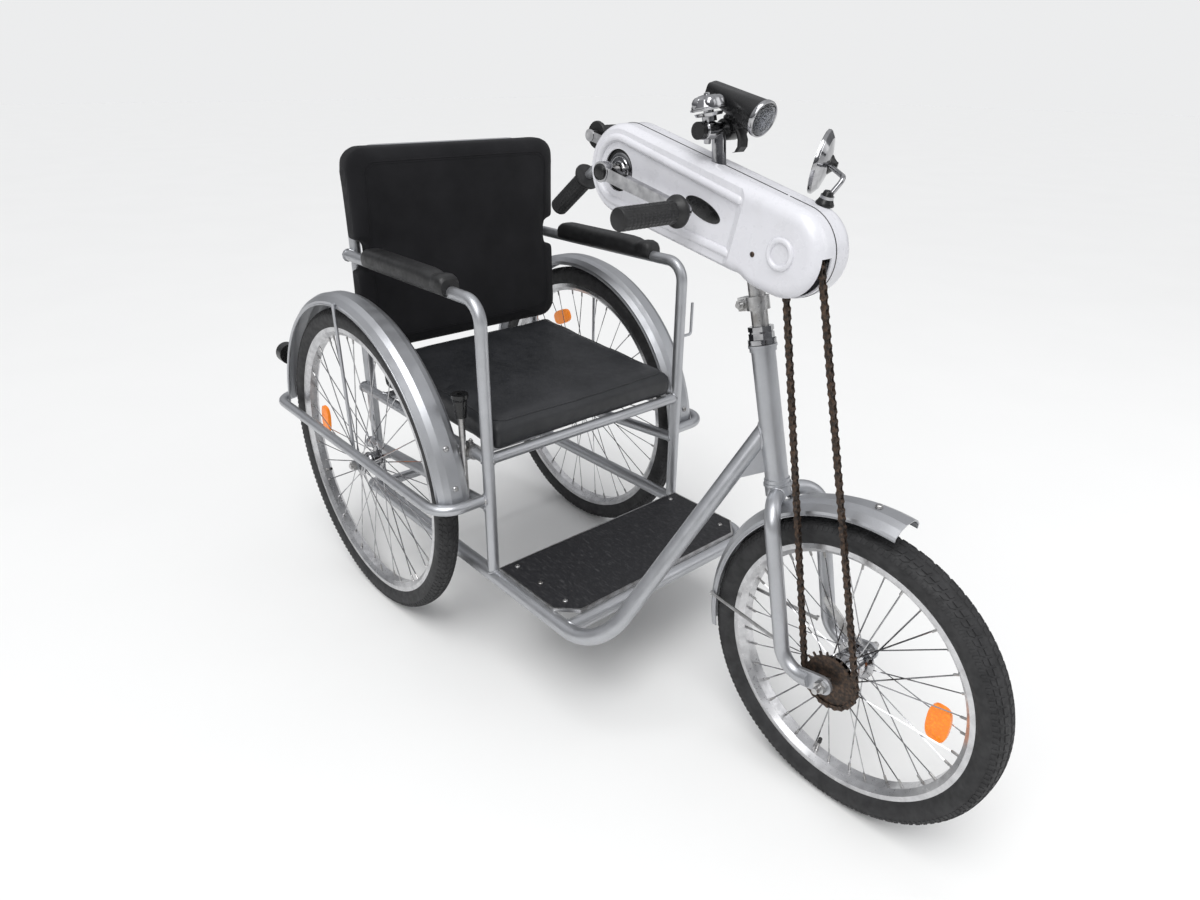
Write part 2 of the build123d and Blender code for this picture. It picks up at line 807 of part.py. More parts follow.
def in_case(along, right, up):
    """A point given from the crank axle: along the housing, to the right, and up."""
    return case_plane.from_local_coords(Vector(along, up, right))


def case_outline():
    """The housing's side outline: a long body and a fuller nose, both level at the top."""
    hulls = []
    for circles in outline_hulls:
        with BuildSketch() as hull:
            for along, radius in circles:
                with Locations((along, case_half - radius)):
                    Circle(radius)
            make_hull()
        hulls.append(hull.sketch)
    with BuildSketch() as outline:
        for hull in hulls:
            add(hull)
        kinks = [v for v in outline.vertices() if v.Y < 0 and case_waist_along < v.X < case_belly_along]
        fillet(kinks, case_kink)
    return outline.sketch


def case_block(depth, shrink, edge):
    """A block from the seam with the housing's outline and its outer edge rounded."""
    with BuildPart() as made:
        with BuildSketch(case_plane):
            add(case_outline())
            if shrink:
                offset(amount=-shrink, mode=Mode.REPLACE)
        extrude(amount=depth)
        outer = made.faces().sort_by(Axis.Y)[0 if depth > 0 else -1]
        fillet(outer.edges(), edge)
    return made.part


def tangent_points(first_radius, centre, second_radius, side):
    """Where an outer tangent touches a circle at the crank axle and a second circle."""
    distance = hypot(*centre)
    turn = atan2(centre[1], centre[0]) + side * acos((first_radius - second_radius) / distance)
    way = Vector(cos(turn), sin(turn))
    return way * first_radius, Vector(*centre) + way * second_radius


def case_prism(profile):
    """A prism across the housing whose profile is given as (along, right) points."""
    across = Plane(origin=in_case(0, 0, 0), x_dir=tuple(case_along), z_dir=tuple(case_up))
    with BuildPart() as made:
        with BuildSketch(across):
            Polygon(*[(along, right * across.y_dir.Y * -1) for along, right in profile], align=None)
        extrude(amount=case_half + 10, both=True)
    return made.part


rib_centre = (face_step, case_half - case_waist_radius)
rib_high = tangent_points(rib_ring, rib_centre, rib_front_radius, 1)
rib_low = tangent_points(rib_ring, rib_centre, rib_front_radius, -1)
rib_depth = case_right - rib_radius


def rib_point(place):
    return tuple(in_case(place.X, rib_depth, place.Y))


with BuildPart() as rib:
    with BuildLine() as rib_path:
        Line(rib_point(rib_high[1]), rib_point(rib_high[0]))
        ThreePointArc(
            rib_point(rib_high[0]), rib_point(Vector(-rib_ring, 0)), rib_point(rib_low[0])
        )
        Line(rib_point(rib_low[0]), rib_point(rib_low[1]))
    with BuildSketch(Plane(origin=rib_path.line @ 0, z_dir=rib_path.line % 0)):
        Circle(rib_radius)
    sweep()
    with Locations(rib_point(rib_high[1]), rib_point(rib_low[1])):
        Sphere(rib_radius)

# The right half's face: its rear is lower than its nose, and lower again inside the rib
low_face = case_right - face_drop
deep_face = case_right - recess_drop
far_along = case_nose_along + case_half + 10
face_keep = case_prism([
    (-case_half - 10, -1), (-case_half - 10, low_face), (face_step, low_face),
    (face_step + face_ramp, case_right + 1), (far_along, case_right + 1), (far_along, -1),
])
with BuildPart() as recess:
    with BuildSketch(case_plane.offset(deep_face)):
        Circle(rib_ring)
        with Locations(rib_centre):
            Circle(rib_front_radius)
        make_hull()
        with Locations((face_step + rib_front_radius, rib_centre[1])):
            Rectangle(2 * rib_front_radius, 3 * rib_ring, mode=Mode.SUBTRACT)
    extrude(amount=recess_drop + 5)


# Countershaft place: the chain's length sets its distance from the wheel's axle
def belt_distance(links, pitch, low_teeth, high_teeth):
    low, high = low_teeth * pitch / (2 * pi), high_teeth * pitch / (2 * pi)
    distance = links * pitch / 2
    for _ in range(8):
        slope = asin((low - high) / distance)
        span = (links * pitch - pi * (low + high) - 2 * (low - high) * slope) / 2
        distance = hypot(span, low - high)
    return distance


hub_ring = hub_teeth * chain_pitch / (2 * pi)
jack_ring = jack_teeth * chain_pitch / (2 * pi)
shaft_distance = belt_distance(chain_links, chain_pitch, hub_teeth, jack_teeth)
chain_way = Vector(-sin(radians(chain_lean)), 0, cos(radians(chain_lean)))
chain_across = Vector(chain_way.Z, 0, -chain_way.X)
jack_x = axle_x + shaft_distance * chain_way.X
jack_z = front_hub_z + shaft_distance * chain_way.Z

# Stem and carrier: they hold the crank bearing, the countershaft and the housing
stem_low = steerer_top + fit_gap
stem_reach = 150.0
beam_half = 13.0
beam_right = 9.0
beam_left = 37.0
beam_back = 15.0
cup_depth = 21.0
cup_thick = 4.0
with BuildPart() as stem:
    with BuildSketch(column.offset(stem_low)):
        Circle(stem_tube / 2)
    extrude(amount=stem_reach)
    with BuildSketch(column.offset(collar_place)):
        Circle(collar_diameter / 2)
        with Locations((-clamp_bolt_back, 0)):
            Rectangle(16, 22)
    extrude(amount=collar_height)
    bolt_middle = on_column(-clamp_bolt_back, 0, collar_place + collar_height / 2)
    bolt_half = Vector(0, clamp_bolt_length / 2, 0)
    add(rod(tuple(bolt_middle - bolt_half), tuple(bolt_middle + bolt_half), clamp_bolt))
    for side in (-1, 1):
        with BuildSketch(Plane(origin=bolt_middle + Vector(0, side * 11, 0), z_dir=(0, side, 0))):
            RegularPolygon(radius=8, side_count=6)
        extrude(amount=6)
    with BuildSketch(case_plane.offset(beam_right)):
        with Locations(((case_nose_along - beam_back + 15) / 2, 0)):
            Rectangle(case_nose_along + beam_back + 15, beam_half * 2)
    extrude(amount=-beam_right - beam_left)
    with BuildSketch(case_plane.offset(-case_left + 8)):
        Circle(shell_radius)
    extrude(amount=case_left + cup_depth - 8)
    with BuildSketch(case_plane.offset(cup_depth)):
        Circle(cup_radius)
    extrude(amount=cup_thick)
    with BuildSketch(Plane(origin=(jack_x, seam_y + beam_left, jack_z), z_dir=(0, -1, 0))):
        Circle(15)
    extrude(amount=beam_left + beam_right)
    with BuildSketch(Plane(origin=(jack_x, seam_y, jack_z), z_dir=(0, -1, 0))):
        Circle(jack_shaft / 2)
    extrude(amount=deep_face - 4)
    with BuildSketch(case_plane.offset(-case_left - 5)):
        Circle(axle_radius + 1)
    extrude(amount=case_left + case_right + 10, mode=Mode.SUBTRACT)

# Steering handle behind the housing: a bent bar from the carrier, with a flanged grip
handle_y = -5.0
handle_bar = 14.0
handle_bend = 30.0
handle_root = Vector(ax + 478.0, handle_y, 937.0)
handle_knee = Vector(ax + 402.0, handle_y, 936.0)
handle_tip = Vector(ax + 289.0, handle_y, 851.0)
handle_way = (handle_tip - handle_knee).normalized()
handle_points = [tuple(handle_root), tuple(handle_knee), tuple(handle_tip - handle_way * 4)]
handle_tube = bent_tube(handle_points, handle_bar, handle_bend)
with BuildPart() as handle:
    add(handle_tube)
    add(stem.part, mode=Mode.SUBTRACT)
    with BuildSketch(case_plane.offset(-case_left)):
        Circle(shell_radius)
    extrude(amount=case_left + case_right, mode=Mode.SUBTRACT)
    handle_solids = handle.solids().sort_by(SortBy.VOLUME)
with BuildPart() as handle_only:
    add(handle_solids[-1])
name_and_write(stem.part, "stem")
name_and_write(handle_only.part, "grab_handle_bar")


handle_grip_length = 104.0
handle_profile = [
    (handle_bar / 2 + fit_gap, 0), (grip_flange / 2 - 2, 0), (grip_flange / 2, grip_flange_thick / 2),
    (grip_flange / 2 - 2, grip_flange_thick), (grip_diameter / 2, grip_flange_thick + 5),
    (grip_diameter / 2, handle_grip_length - 4), (grip_diameter / 2 - 4, handle_grip_length),
    (0, handle_grip_length), (0, handle_grip_length - 3), (handle_bar / 2 + fit_gap, handle_grip_length - 3),
]
handle_grip_start = handle_tip - handle_way * (handle_grip_length - 4)
handle_grip = turned(tuple(handle_grip_start), tuple(handle_way), handle_profile)
name_and_write(handle_grip, "grab_handle_grip")

# Post with a cross bar that comes up through the seam, and the housing's two halves
bar_place = Vector(ax + 672.0, seam_y, 1000.0)
bar_tube = 20.0
bar_right = 34.0
bar_left = 40.0
post_tube_top = 20.0
post_foot = in_case((679.0 - crank_x) / cos(case_turn), 0, beam_half)
post_way = (bar_place - post_foot).normalized()
with BuildPart() as accessory:
    add(rod(tuple(post_foot), tuple(bar_place), post_tube_top))
    bar_right_end = (bar_place.X, seam_y - bar_right, bar_place.Z)
    add(rod(bar_right_end, (bar_place.X, seam_y + bar_left, bar_place.Z), bar_tube))
    add(stem.part, mode=Mode.SUBTRACT)
name_and_write(accessory.part, "accessory_post")
with BuildPart() as bar_caps:
    for y, way in ((seam_y - bar_right, -1), (seam_y + bar_left, 1)):
        with BuildSketch(Plane(origin=(bar_place.X, y + way * fit_gap, bar_place.Z), z_dir=(0, way, 0))):
            Circle(bar_tube / 2 + 1.5)
        extrude(amount=9)
name_and_write(bar_caps.part, "bar_caps")

notch_width = 17.0
notch_reach = 84.0
notch_start = Vector(jack_x, chain_y, jack_z) - chain_way * 95
with BuildPart() as notch:
    with BuildSketch(Plane(origin=notch_start, x_dir=(0, 1, 0), z_dir=chain_way)):
        Rectangle(notch_width, notch_reach)
    extrude(amount=93)
post_clearance = rod(tuple(post_foot - post_way * 10), tuple(bar_place), post_tube_top + 4 * fit_gap)
handle_clearance = bent_tube(handle_points, handle_bar + 4 * fit_gap, handle_bend)
halves = [("right", case_right, recess_drop), ("left", -case_left, 0.0)]
for name, depth, drop in halves:
    direction = 1 if depth > 0 else -1
    with BuildPart() as half:
        add(case_block(depth, 0, case_edge))
        if drop:
            add(face_keep, mode=Mode.INTERSECT)
            add(recess.part, mode=Mode.SUBTRACT)
            add(rib.part)
            with BuildSketch(Plane(origin=in_case(case_nose_along, case_right, 0), x_dir=tuple(case_up),
                                   z_dir=tuple(case_along))):
                with Locations((case_half - case_nose_radius + boss_ring, 0)):
                    Circle(boss_section)
            revolve(axis=Axis(in_case(case_nose_along, 0, case_half - case_nose_radius), (0, 1, 0)))
        cavity = case_block(depth - direction * (drop + case_wall), case_wall, case_edge - drop)
        add(cavity, mode=Mode.SUBTRACT)
        with BuildSketch(case_plane):
            Circle(crank_opening)
        extrude(amount=depth * 1.2, mode=Mode.SUBTRACT)
        with BuildSketch(column.offset(stem_low)):
            Circle(stem_tube / 2 + fit_gap)
        extrude(amount=120, mode=Mode.SUBTRACT)
        add(post_clearance, mode=Mode.SUBTRACT)
        add(notch.part if drop else handle_clearance, mode=Mode.SUBTRACT)
    name_and_write(half.part, "case_" + name)

# Chain from the countershaft down to the hub: outer plates in pairs, inner links between them
chain_slope = asin((hub_ring - jack_ring) / shaft_distance)
chain_span = shaft_distance * cos(chain_slope)
jack_arc = pi - 2 * chain_slope
hub_arc = pi + 2 * chain_slope


def on_ring(centre_along, ring, angle):
    """A point on a sprocket's ring; the angle starts at the forward side and turns up."""
    place = Vector(axle_x, chain_y, front_hub_z) + chain_way * (centre_along + ring * sin(angle))
    return place + chain_across * (ring * cos(angle))


def on_chain(length):
    """The point at a length along the closed chain, from where it meets the upper ring."""
    ring_run = jack_ring * jack_arc
    if length < ring_run:
        return on_ring(shaft_distance, jack_ring, chain_slope + length / jack_ring)
    length -= ring_run
    if length < chain_span:
        top = on_ring(shaft_distance, jack_ring, pi - chain_slope)
        low = on_ring(0, hub_ring, pi - chain_slope)
        return top + (low - top) * (length / chain_span)
    length -= chain_span
    if length < hub_ring * hub_arc:
        return on_ring(0, hub_ring, pi - chain_slope + length / hub_ring)
    length -= hub_ring * hub_arc
    low = on_ring(0, hub_ring, chain_slope)
    top = on_ring(shaft_distance, jack_ring, chain_slope)
    return low + (top - low) * (length / chain_span)


def chain_bar(plane, low, high, height):
    """A flat bar of one link, from one depth beside the chain's middle plane to another."""
    with BuildPart() as bar:
        with BuildSketch(plane.offset(low)):
            Rectangle(chain_pitch + plate_overlap, height)
        extrude(amount=high - low)
    return bar.part.solid()


inner_edge = inner_plate_y + plate_thick
outer_edge = inner_edge + layer_gap + plate_thick
chain_pins = [on_chain(k * chain_pitch) for k in range(chain_links)]
chain_solids = []
for k in range(chain_links):
    pin = chain_pins[k]
    following = chain_pins[(k + 1) % chain_links]
    link = Plane(origin=(pin + following) * 0.5, x_dir=(following - pin).normalized(), z_dir=(0, -1, 0))
    if k % 2:
        chain_solids.append(chain_bar(link, -inner_edge, -inner_plate_y, plate_height))
        chain_solids.append(chain_bar(link, inner_plate_y, inner_edge, plate_height))
    else:
        chain_solids.append(chain_bar(link, -outer_edge, -inner_edge - layer_gap, plate_height))
        chain_solids.append(chain_bar(link, inner_edge + layer_gap, outer_edge, plate_height))
    pin_plane = Plane(origin=pin, x_dir=link.x_dir, z_dir=(0, -1, 0))
    with BuildPart() as roller:
        with BuildSketch(pin_plane.offset(layer_gap - inner_plate_y)):
            RegularPolygon(radius=roller_reach, side_count=4)
        extrude(amount=2 * (inner_plate_y - layer_gap))
    chain_solids.append(roller.part.solid())
name_and_write(Compound(children=chain_solids), "drive_chain")


def sprocket_outline(teeth, ring, phase):
    """Tooth corner points round a ring whose rollers sit at the phase angle."""
    step = 2 * pi / teeth
    root = ring - roller_reach - fit_gap
    tip = ring + tooth_rise
    points = []
    for k in range(teeth):
        middle = phase + (k + 0.5) * step
        for share, radius in ((-0.16, root), (-0.09, tip), (0.09, tip), (0.16, root)):
            angle = middle + share * step
            points.append((radius * cos(angle), radius * sin(angle)))
    return points


ring_rows = [
    (0.0, hub_ring, hub_teeth, front_axle, pi - chain_slope, jack_ring * jack_arc + chain_span),
    (shaft_distance, jack_ring, jack_teeth, jack_shaft, chain_slope, 0.0),
]
with BuildPart() as sprockets:
    for place, ring, teeth, shaft, start, run in ring_rows:
        phase = start + (-run % chain_pitch) / ring
        centre = Vector(axle_x, chain_y + sprocket_thick / 2, front_hub_z) + chain_way * place
        with BuildSketch(Plane(origin=centre, x_dir=tuple(chain_across), z_dir=(0, -1, 0))):
            Polygon(*sprocket_outline(teeth, ring, phase), align=None)
            Circle(shaft / 2 + fit_gap, mode=Mode.SUBTRACT)
        extrude(amount=sprocket_thick)
name_and_write(sprockets.part, "chain_sprockets")

# Reaction arm of the hub brake, held on the left fork leg
arm_y = fork_y - fork_tube / 2 - 5
with BuildPart() as brake_arm:
    add(link_plate(wheel_axle, Vector(ax + 905.0, 0, 308.0), 10, 7, 4, arm_y))
    with BuildSketch(Plane(origin=(axle_x, 0, front_hub_z), z_dir=(0, 1, 0))):
        Circle(front_axle / 2 + fit_gap)
    extrude(amount=fork_y, mode=Mode.SUBTRACT)
name_and_write(brake_arm.part, "brake_arm")

# Bell above the bar's right end: a clamp block, a base dish and a dome
bell_foot = Vector(bar_place.X, seam_y - 20, bar_place.Z + bar_tube / 2 + 1.2)
bell = turned(
    tuple(bell_foot), (-0.15, -0.1, 1),
    [(0, 0), (10, 0), (10, 6), (18, 7), (20, 11), (7, 12), (7, 15), (23, 16), (23, 19), (20, 28),
     (12, 33), (0, 35)],
)
name_and_write(bell, "bell")

# Headlight: a wedge that widens to a round front, on a clamp with a strap tongue
lamp_rear = Vector(ax + 640.0, -8, 1050.0)
lamp_front = Vector(ax + 731.0, -8, 1016.0)
lamp_way = (lamp_front - lamp_rear).normalized()
bar_ends = [(bar_place.X, seam_y + y, bar_place.Z) for y in (-2 * bar_right, 2 * bar_left)]
bar_clearance = rod(*bar_ends, bar_tube + 2 * fit_gap)
lamp_sections = [(lamp_rear, 30.0, 20.0, 5.0), (lamp_front, 46.0, 46.0, 20.0)]
with BuildPart() as headlight:
    for origin, width, height, corner_radius in lamp_sections:
        with BuildSketch(Plane(origin=origin, x_dir=(0, 1, 0), z_dir=tuple(lamp_way))):
            RectangleRounded(width, height, corner_radius)
    loft(ruled=True)
    with BuildSketch(Plane.XY.offset(bar_place.Z - 15)):
        with Locations((bar_place.X + 12, lamp_rear.Y)):
            Rectangle(48, 24)
    extrude(amount=34)
    with BuildSketch(Plane.XZ.offset(-lamp_rear.Y - 9)):
        Polygon(
            (bar_place.X + 20, bar_place.Z - 12), (bar_place.X + 34, bar_place.Z - 8),
            (bar_place.X + 30, bar_place.Z - 30), (bar_place.X + 22, bar_place.Z - 32), align=None,
        )
    extrude(amount=18)
    for piece in (bar_clearance, post_clearance, bar_caps.part):
        add(piece, mode=Mode.SUBTRACT)
name_and_write(headlight.part, "headlight")
with BuildPart() as lens:
    with BuildSketch(Plane(origin=lamp_front + lamp_way * fit_gap, x_dir=(0, 1, 0), z_dir=tuple(lamp_way))):
        RectangleRounded(44, 44, 19)
    extrude(amount=4)
name_and_write(lens.part, "headlight_lens")

# Mirror: a dish on a bent rod from a foot on the housing's left half
mirror_centre = Vector(ax + 781.0, 60, 962)
mirror_normal = Vector(-0.87, -0.42, 0.2).normalized()
mirror_foot = in_case(case_nose_along, -case_left + 14, case_half + fit_gap)
mirror_back = mirror_centre - mirror_normal * 12
with BuildPart() as mirror:
    add(turned(tuple(mirror_centre), tuple(mirror_normal * -1),
               [(0, 0), (42, 0), (42, 4), (34, 10), (14, 15), (0, 15)]))
    add(rod(tuple(mirror_foot), tuple(mirror_foot + case_up * 12), 18))
    add(bent_tube(
        [tuple(mirror_foot + case_up * 6), tuple(mirror_foot + case_up * 34 + Vector(6, 16, 0)),
         tuple(mirror_back)], 7, 10,
    ))
name_and_write(mirror.part, "mirror")
mirror_glass = turned(
    tuple(mirror_centre + mirror_normal * fit_gap), tuple(mirror_normal), [(0, 0), (39, 0), (39, 2), (0, 2)]
)
name_and_write(mirror_glass, "mirror_glass")

# Crank: axle, two arms half a turn apart, and two grips on pins
turn_way = Vector(cos(radians(crank_turn)), 0, sin(radians(crank_turn)))
crank_centre = Vector(ax + crank_x, 0, crank_z)
right_y = seam_y - crank_reach
left_y = seam_y + crank_reach
with BuildPart() as crank_axle:
    add(rod((crank_centre.X, right_y - 9, crank_z), (crank_centre.X, left_y + 9, crank_z), 2 * axle_radius))
name_and_write(crank_axle.part, "crank_axle")
crank_rows = [(right_y, -1, turn_way), (left_y, 1, turn_way * -1)]
with BuildPart() as crank_arms:
    for y, out, way in crank_rows:
        eye = crank_centre + way * crank_length
        add(link_plate(crank_centre, eye, 10, 8, arm_thick, y))
        for place, radius in ((crank_centre, 15), (eye, 10)):
            add(link_plate(place, place + way, radius, radius, arm_thick + 2, y))
        add(rod((eye.X, y, eye.Z), (eye.X, y + out * (grip_length + 8), eye.Z), grip_pin))
    add(crank_axle.part, mode=Mode.SUBTRACT)
name_and_write(crank_arms.part, "crank_arms")
grip_profile = [
    (grip_pin / 2 + fit_gap, 0), (grip_flange / 2 - 2, 0), (grip_flange / 2, grip_flange_thick / 2),
    (grip_flange / 2 - 2, grip_flange_thick), (grip_diameter / 2, grip_flange_thick + 5),
    (grip_diameter / 2, grip_length - 4), (grip_diameter / 2 - 4, grip_length),
    (grip_pin / 2 + fit_gap, grip_length),
]
with BuildPart() as grips:
    for y, out, way in crank_rows:
        eye = crank_centre + way * crank_length
        add(turned((eye.X, y + out * (arm_thick / 2 + 2), eye.Z), (0, out, 0), grip_profile))
name_and_write(grips.part, "crank_grips")
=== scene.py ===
# Looks for the hand-cranked tricycle: finishes for the solid pieces, and the soft and
# fine pieces that the solid model keeps plain. Metres, +X forward, +Y left, +Z up.
import bmesh
import bpy
import json
from math import asin, cos, pi, radians, sin, sqrt
from mathutils import Matrix, Vector


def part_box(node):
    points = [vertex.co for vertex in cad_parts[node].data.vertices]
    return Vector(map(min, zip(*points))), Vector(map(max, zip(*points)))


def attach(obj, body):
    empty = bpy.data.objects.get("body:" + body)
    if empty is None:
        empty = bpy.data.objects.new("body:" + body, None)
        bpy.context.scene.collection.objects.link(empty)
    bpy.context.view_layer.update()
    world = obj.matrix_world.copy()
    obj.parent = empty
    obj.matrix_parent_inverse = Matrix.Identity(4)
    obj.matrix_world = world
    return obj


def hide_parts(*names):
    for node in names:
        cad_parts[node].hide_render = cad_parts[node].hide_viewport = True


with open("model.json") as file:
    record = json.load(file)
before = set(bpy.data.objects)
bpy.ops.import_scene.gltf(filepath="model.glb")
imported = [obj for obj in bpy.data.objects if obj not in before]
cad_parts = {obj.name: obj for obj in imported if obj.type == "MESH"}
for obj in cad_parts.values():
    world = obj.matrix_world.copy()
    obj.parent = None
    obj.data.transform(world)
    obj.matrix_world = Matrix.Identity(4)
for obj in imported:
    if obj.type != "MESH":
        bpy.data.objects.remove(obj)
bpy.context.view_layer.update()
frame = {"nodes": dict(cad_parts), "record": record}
nodes = frame["nodes"]


# Camera: the photo's place, turn and lens, in the solid model's frame
photo_width = 1200
camera_place = Vector((1.0481, -0.9354, 1.0718))
camera_yaw = radians(138.675)
camera_pitch = radians(25.191)
camera_roll = radians(0.624)
focal_pixels = 806.0
sensor = 36.0


def configure(thing, settings):
    for key, value in settings.items():
        setattr(thing, key, value)


def new_object(name, data):
    made = bpy.data.objects.new(name, data)
    bpy.context.scene.collection.objects.link(made)
    return made


def toward(first, second, angle):
    """The direction at an angle from the first one to the second."""
    return first * cos(angle) + second * sin(angle)


def add_camera():
    forward = Vector((
        cos(camera_yaw) * cos(camera_pitch), sin(camera_yaw) * cos(camera_pitch), -sin(camera_pitch)
    ))
    right = Vector((sin(camera_yaw), -cos(camera_yaw), 0))
    up = right.cross(forward)
    data = bpy.data.cameras.new("camera")
    data.sensor_width = sensor
    data.sensor_fit = "HORIZONTAL"
    data.lens = sensor * focal_pixels / photo_width
    data.clip_start = 0.05
    camera = new_object("camera", data)
    rows = Matrix((toward(right, up, camera_roll), toward(up, -right, camera_roll), -forward)).transposed()
    camera.matrix_world = Matrix.Translation(camera_place) @ rows.to_4x4()
    bpy.context.scene.camera = camera


# Materials: one short node graph each, with grain, wear and bump
def add_node(tree, kind, output, inputs, **settings):
    """A node's output; each of its inputs is a value or another node's output."""
    node = tree.nodes.new(kind)
    configure(node, settings)
    for name, value in inputs.items():
        if isinstance(value, bpy.types.NodeSocket):
            tree.links.new(value, node.inputs[name])
        else:
            node.inputs[name].default_value = value
    return node.outputs[output]


def mix_node(tree, share, *colours):
    """A mix of two colours, each given as three numbers or as a node's output."""
    first, second = [(*colour, 1) if isinstance(colour, tuple) else colour for colour in colours]
    inputs = {"Factor": share, "A": first, "B": second}
    return add_node(tree, "ShaderNodeMix", "Result", inputs, data_type="RGBA")


class Graph:
    """A material's node graph, with short calls for the nodes used here."""

    def __init__(self, name):
        self.material = bpy.data.materials.new(name)
        self.material.use_nodes = True
        self.tree = self.material.node_tree
        self.shader = self.tree.nodes["Principled BSDF"]
        self.place = self.add("ShaderNodeTexCoord", "Object", {})

    def add(self, kind, output, inputs, **settings):
        return add_node(self.tree, kind, output, inputs, **settings)

    def noise(self, scale, detail, stretch=None):
        place = self.place
        if stretch:
            place = self.add("ShaderNodeMapping", "Vector", {"Scale": stretch, "Vector": place})
        return self.add("ShaderNodeTexNoise", "Fac", {"Scale": scale, "Detail": detail, "Vector": place})

    def cells(self, scale):
        return self.add("ShaderNodeTexVoronoi", "Distance", {"Scale": scale, "Vector": self.place})

    def waves(self, direction, **inputs):
        return self.add("ShaderNodeTexWave", "Fac", {"Vector": self.place, **inputs}, bands_direction=direction)

    def range(self, source, low, high, to_low=0.0, to_high=1.0):
        limits = {"From Min": low, "From Max": high, "To Min": to_low, "To Max": to_high}
        return self.add("ShaderNodeMapRange", "Result", {"Value": source, **limits})

    def mottle(self, scale, detail, *limits, stretch=None):
        """Noise, brought into a range."""
        return self.range(self.noise(scale, detail, stretch), *limits)

    def math(self, operation, first, second):
        return self.add("ShaderNodeMath", "Value", {0: first, 1: second}, operation=operation)

    def shade(self, name, output):
        self.tree.links.new(output, self.shader.inputs[name])

    def colour(self, share, first, second):
        self.shade("Base Color", mix_node(self.tree, share, first, second))

    def roughness(self, output):
        self.shade("Roughness", output)

    def bump(self, height, strength, distance):
        inputs = {"Strength": strength, "Distance": distance, "Height": height}
        self.shade("Normal", self.add("ShaderNodeBump", "Normal", inputs))

    def set(self, **values):
        for name, value in values.items():
            self.shader.inputs[name.replace("_", " ")].default_value = value


def silver_paint():
    """Silver lacquer with fine flakes, a soft orange peel and a little dust."""
    graph = Graph("silver_paint")
    flakes = graph.mottle(2600, 1, 0.35, 0.65)
    clouds = graph.mottle(9, 4, 0.35, 0.7)
    base = mix_node(graph.tree, flakes, (0.40, 0.41, 0.43), (0.54, 0.55, 0.57))
    graph.colour(graph.math("MULTIPLY", clouds, 0.35), base, (0.33, 0.33, 0.34))
    graph.roughness(graph.mottle(40, 4, 0.3, 0.7, 0.32, 0.46))
    graph.bump(graph.noise(420, 2), 0.12, 0.0006)
    graph.set(Metallic=0.85)
    return graph.material


def bare_metal(name, dark, light, low, high):
    """Bare or plated metal with faint stains and fine scratches."""
    graph = Graph(name)
    stains = graph.mottle(55, 5, 0.35, 0.7)
    graph.colour(stains, light, dark)
    graph.roughness(graph.mottle(220, 4, 0.3, 0.75, low, high))
    graph.bump(graph.noise(660, 2), 0.06, 0.0004)
    graph.set(Metallic=1.0)
    return graph.material


def chain_steel():
    """Dark oiled steel with brown dust in it."""
    graph = Graph("chain_steel")
    dust = graph.mottle(180, 4, 0.4, 0.7)
    graph.colour(dust, (0.045, 0.038, 0.034), (0.13, 0.085, 0.06))
    graph.roughness(graph.mottle(300, 3, 0.3, 0.7, 0.35, 0.7))
    graph.bump(graph.noise(900, 2), 0.2, 0.0004)
    graph.set(Metallic=0.8)
    return graph.material


def black_vinyl():
    """Leather-grained black vinyl, a little worn in places."""
    graph = Graph("black_vinyl")
    grain = graph.cells(900)
    wear = graph.mottle(11, 4, 0.35, 0.7)
    graph.colour(wear, (0.012, 0.013, 0.015), (0.024, 0.025, 0.028))
    graph.roughness(graph.mottle(60, 4, 0.3, 0.7, 0.38, 0.55))
    graph.bump(graph.math("ADD", grain, graph.math("MULTIPLY", graph.noise(14, 3), 2.0)), 0.25, 0.0006)
    return graph.material


def black_cloth():
    """Dense black weave with two crossing thread directions."""
    graph = Graph("black_cloth")
    height = graph.math("MAXIMUM", *[graph.waves(way, Scale=420, Distortion=1.2) for way in ("Y", "Z")])
    clouds = graph.mottle(14, 4, 0.3, 0.7)
    graph.colour(clouds, (0.006, 0.006, 0.0075), (0.012, 0.012, 0.014))
    graph.roughness(graph.range(height, 0.0, 1.0, 0.72, 0.95))
    graph.bump(height, 0.35, 0.0005)
    graph.set(Sheen_Weight=0.06, Sheen_Roughness=0.5, Specular_IOR_Level=0.25)
    return graph.material


def black_rubber(name, light=0.016, low=0.38, high=0.56):
    """Black rubber with a dry bloom."""
    graph = Graph(name)
    bloom = graph.mottle(45, 5, 0.35, 0.75)
    dark = light * 0.45
    graph.colour(bloom, (dark, dark, light * 0.48), (light, light, light * 1.04))
    graph.roughness(graph.mottle(120, 4, 0.3, 0.7, low, high))
    graph.bump(graph.noise(700, 3), 0.18, 0.0005)
    return graph.material


def white_shell():
    """Glossy white moulded plastic with a faint ripple and rub marks."""
    graph = Graph("white_shell")
    marks = graph.mottle(16, 6, 0.55, 0.8)
    graph.colour(marks, (0.70, 0.70, 0.735), (0.62, 0.62, 0.645))
    graph.roughness(graph.mottle(70, 4, 0.3, 0.7, 0.24, 0.36))
    graph.bump(graph.noise(36, 2), 0.05, 0.0008)
    graph.set(Coat_Weight=0.3, Coat_Roughness=0.15)
    return graph.material


def prism_plastic(name, scale, colours, shine, strength, distance, **painted_glow):
    """Coloured plastic moulded into fine prisms; the amber one has a little painted glow, though it is no lamp.
    """
    graph = Graph(name)
    prisms = graph.cells(scale)
    graph.colour(graph.range(prisms, 0.0, 0.6), *colours)
    graph.roughness(graph.range(prisms, 0.0, 0.6, *shine))
    graph.bump(prisms, strength, distance)
    graph.set(**painted_glow)
    return graph.material


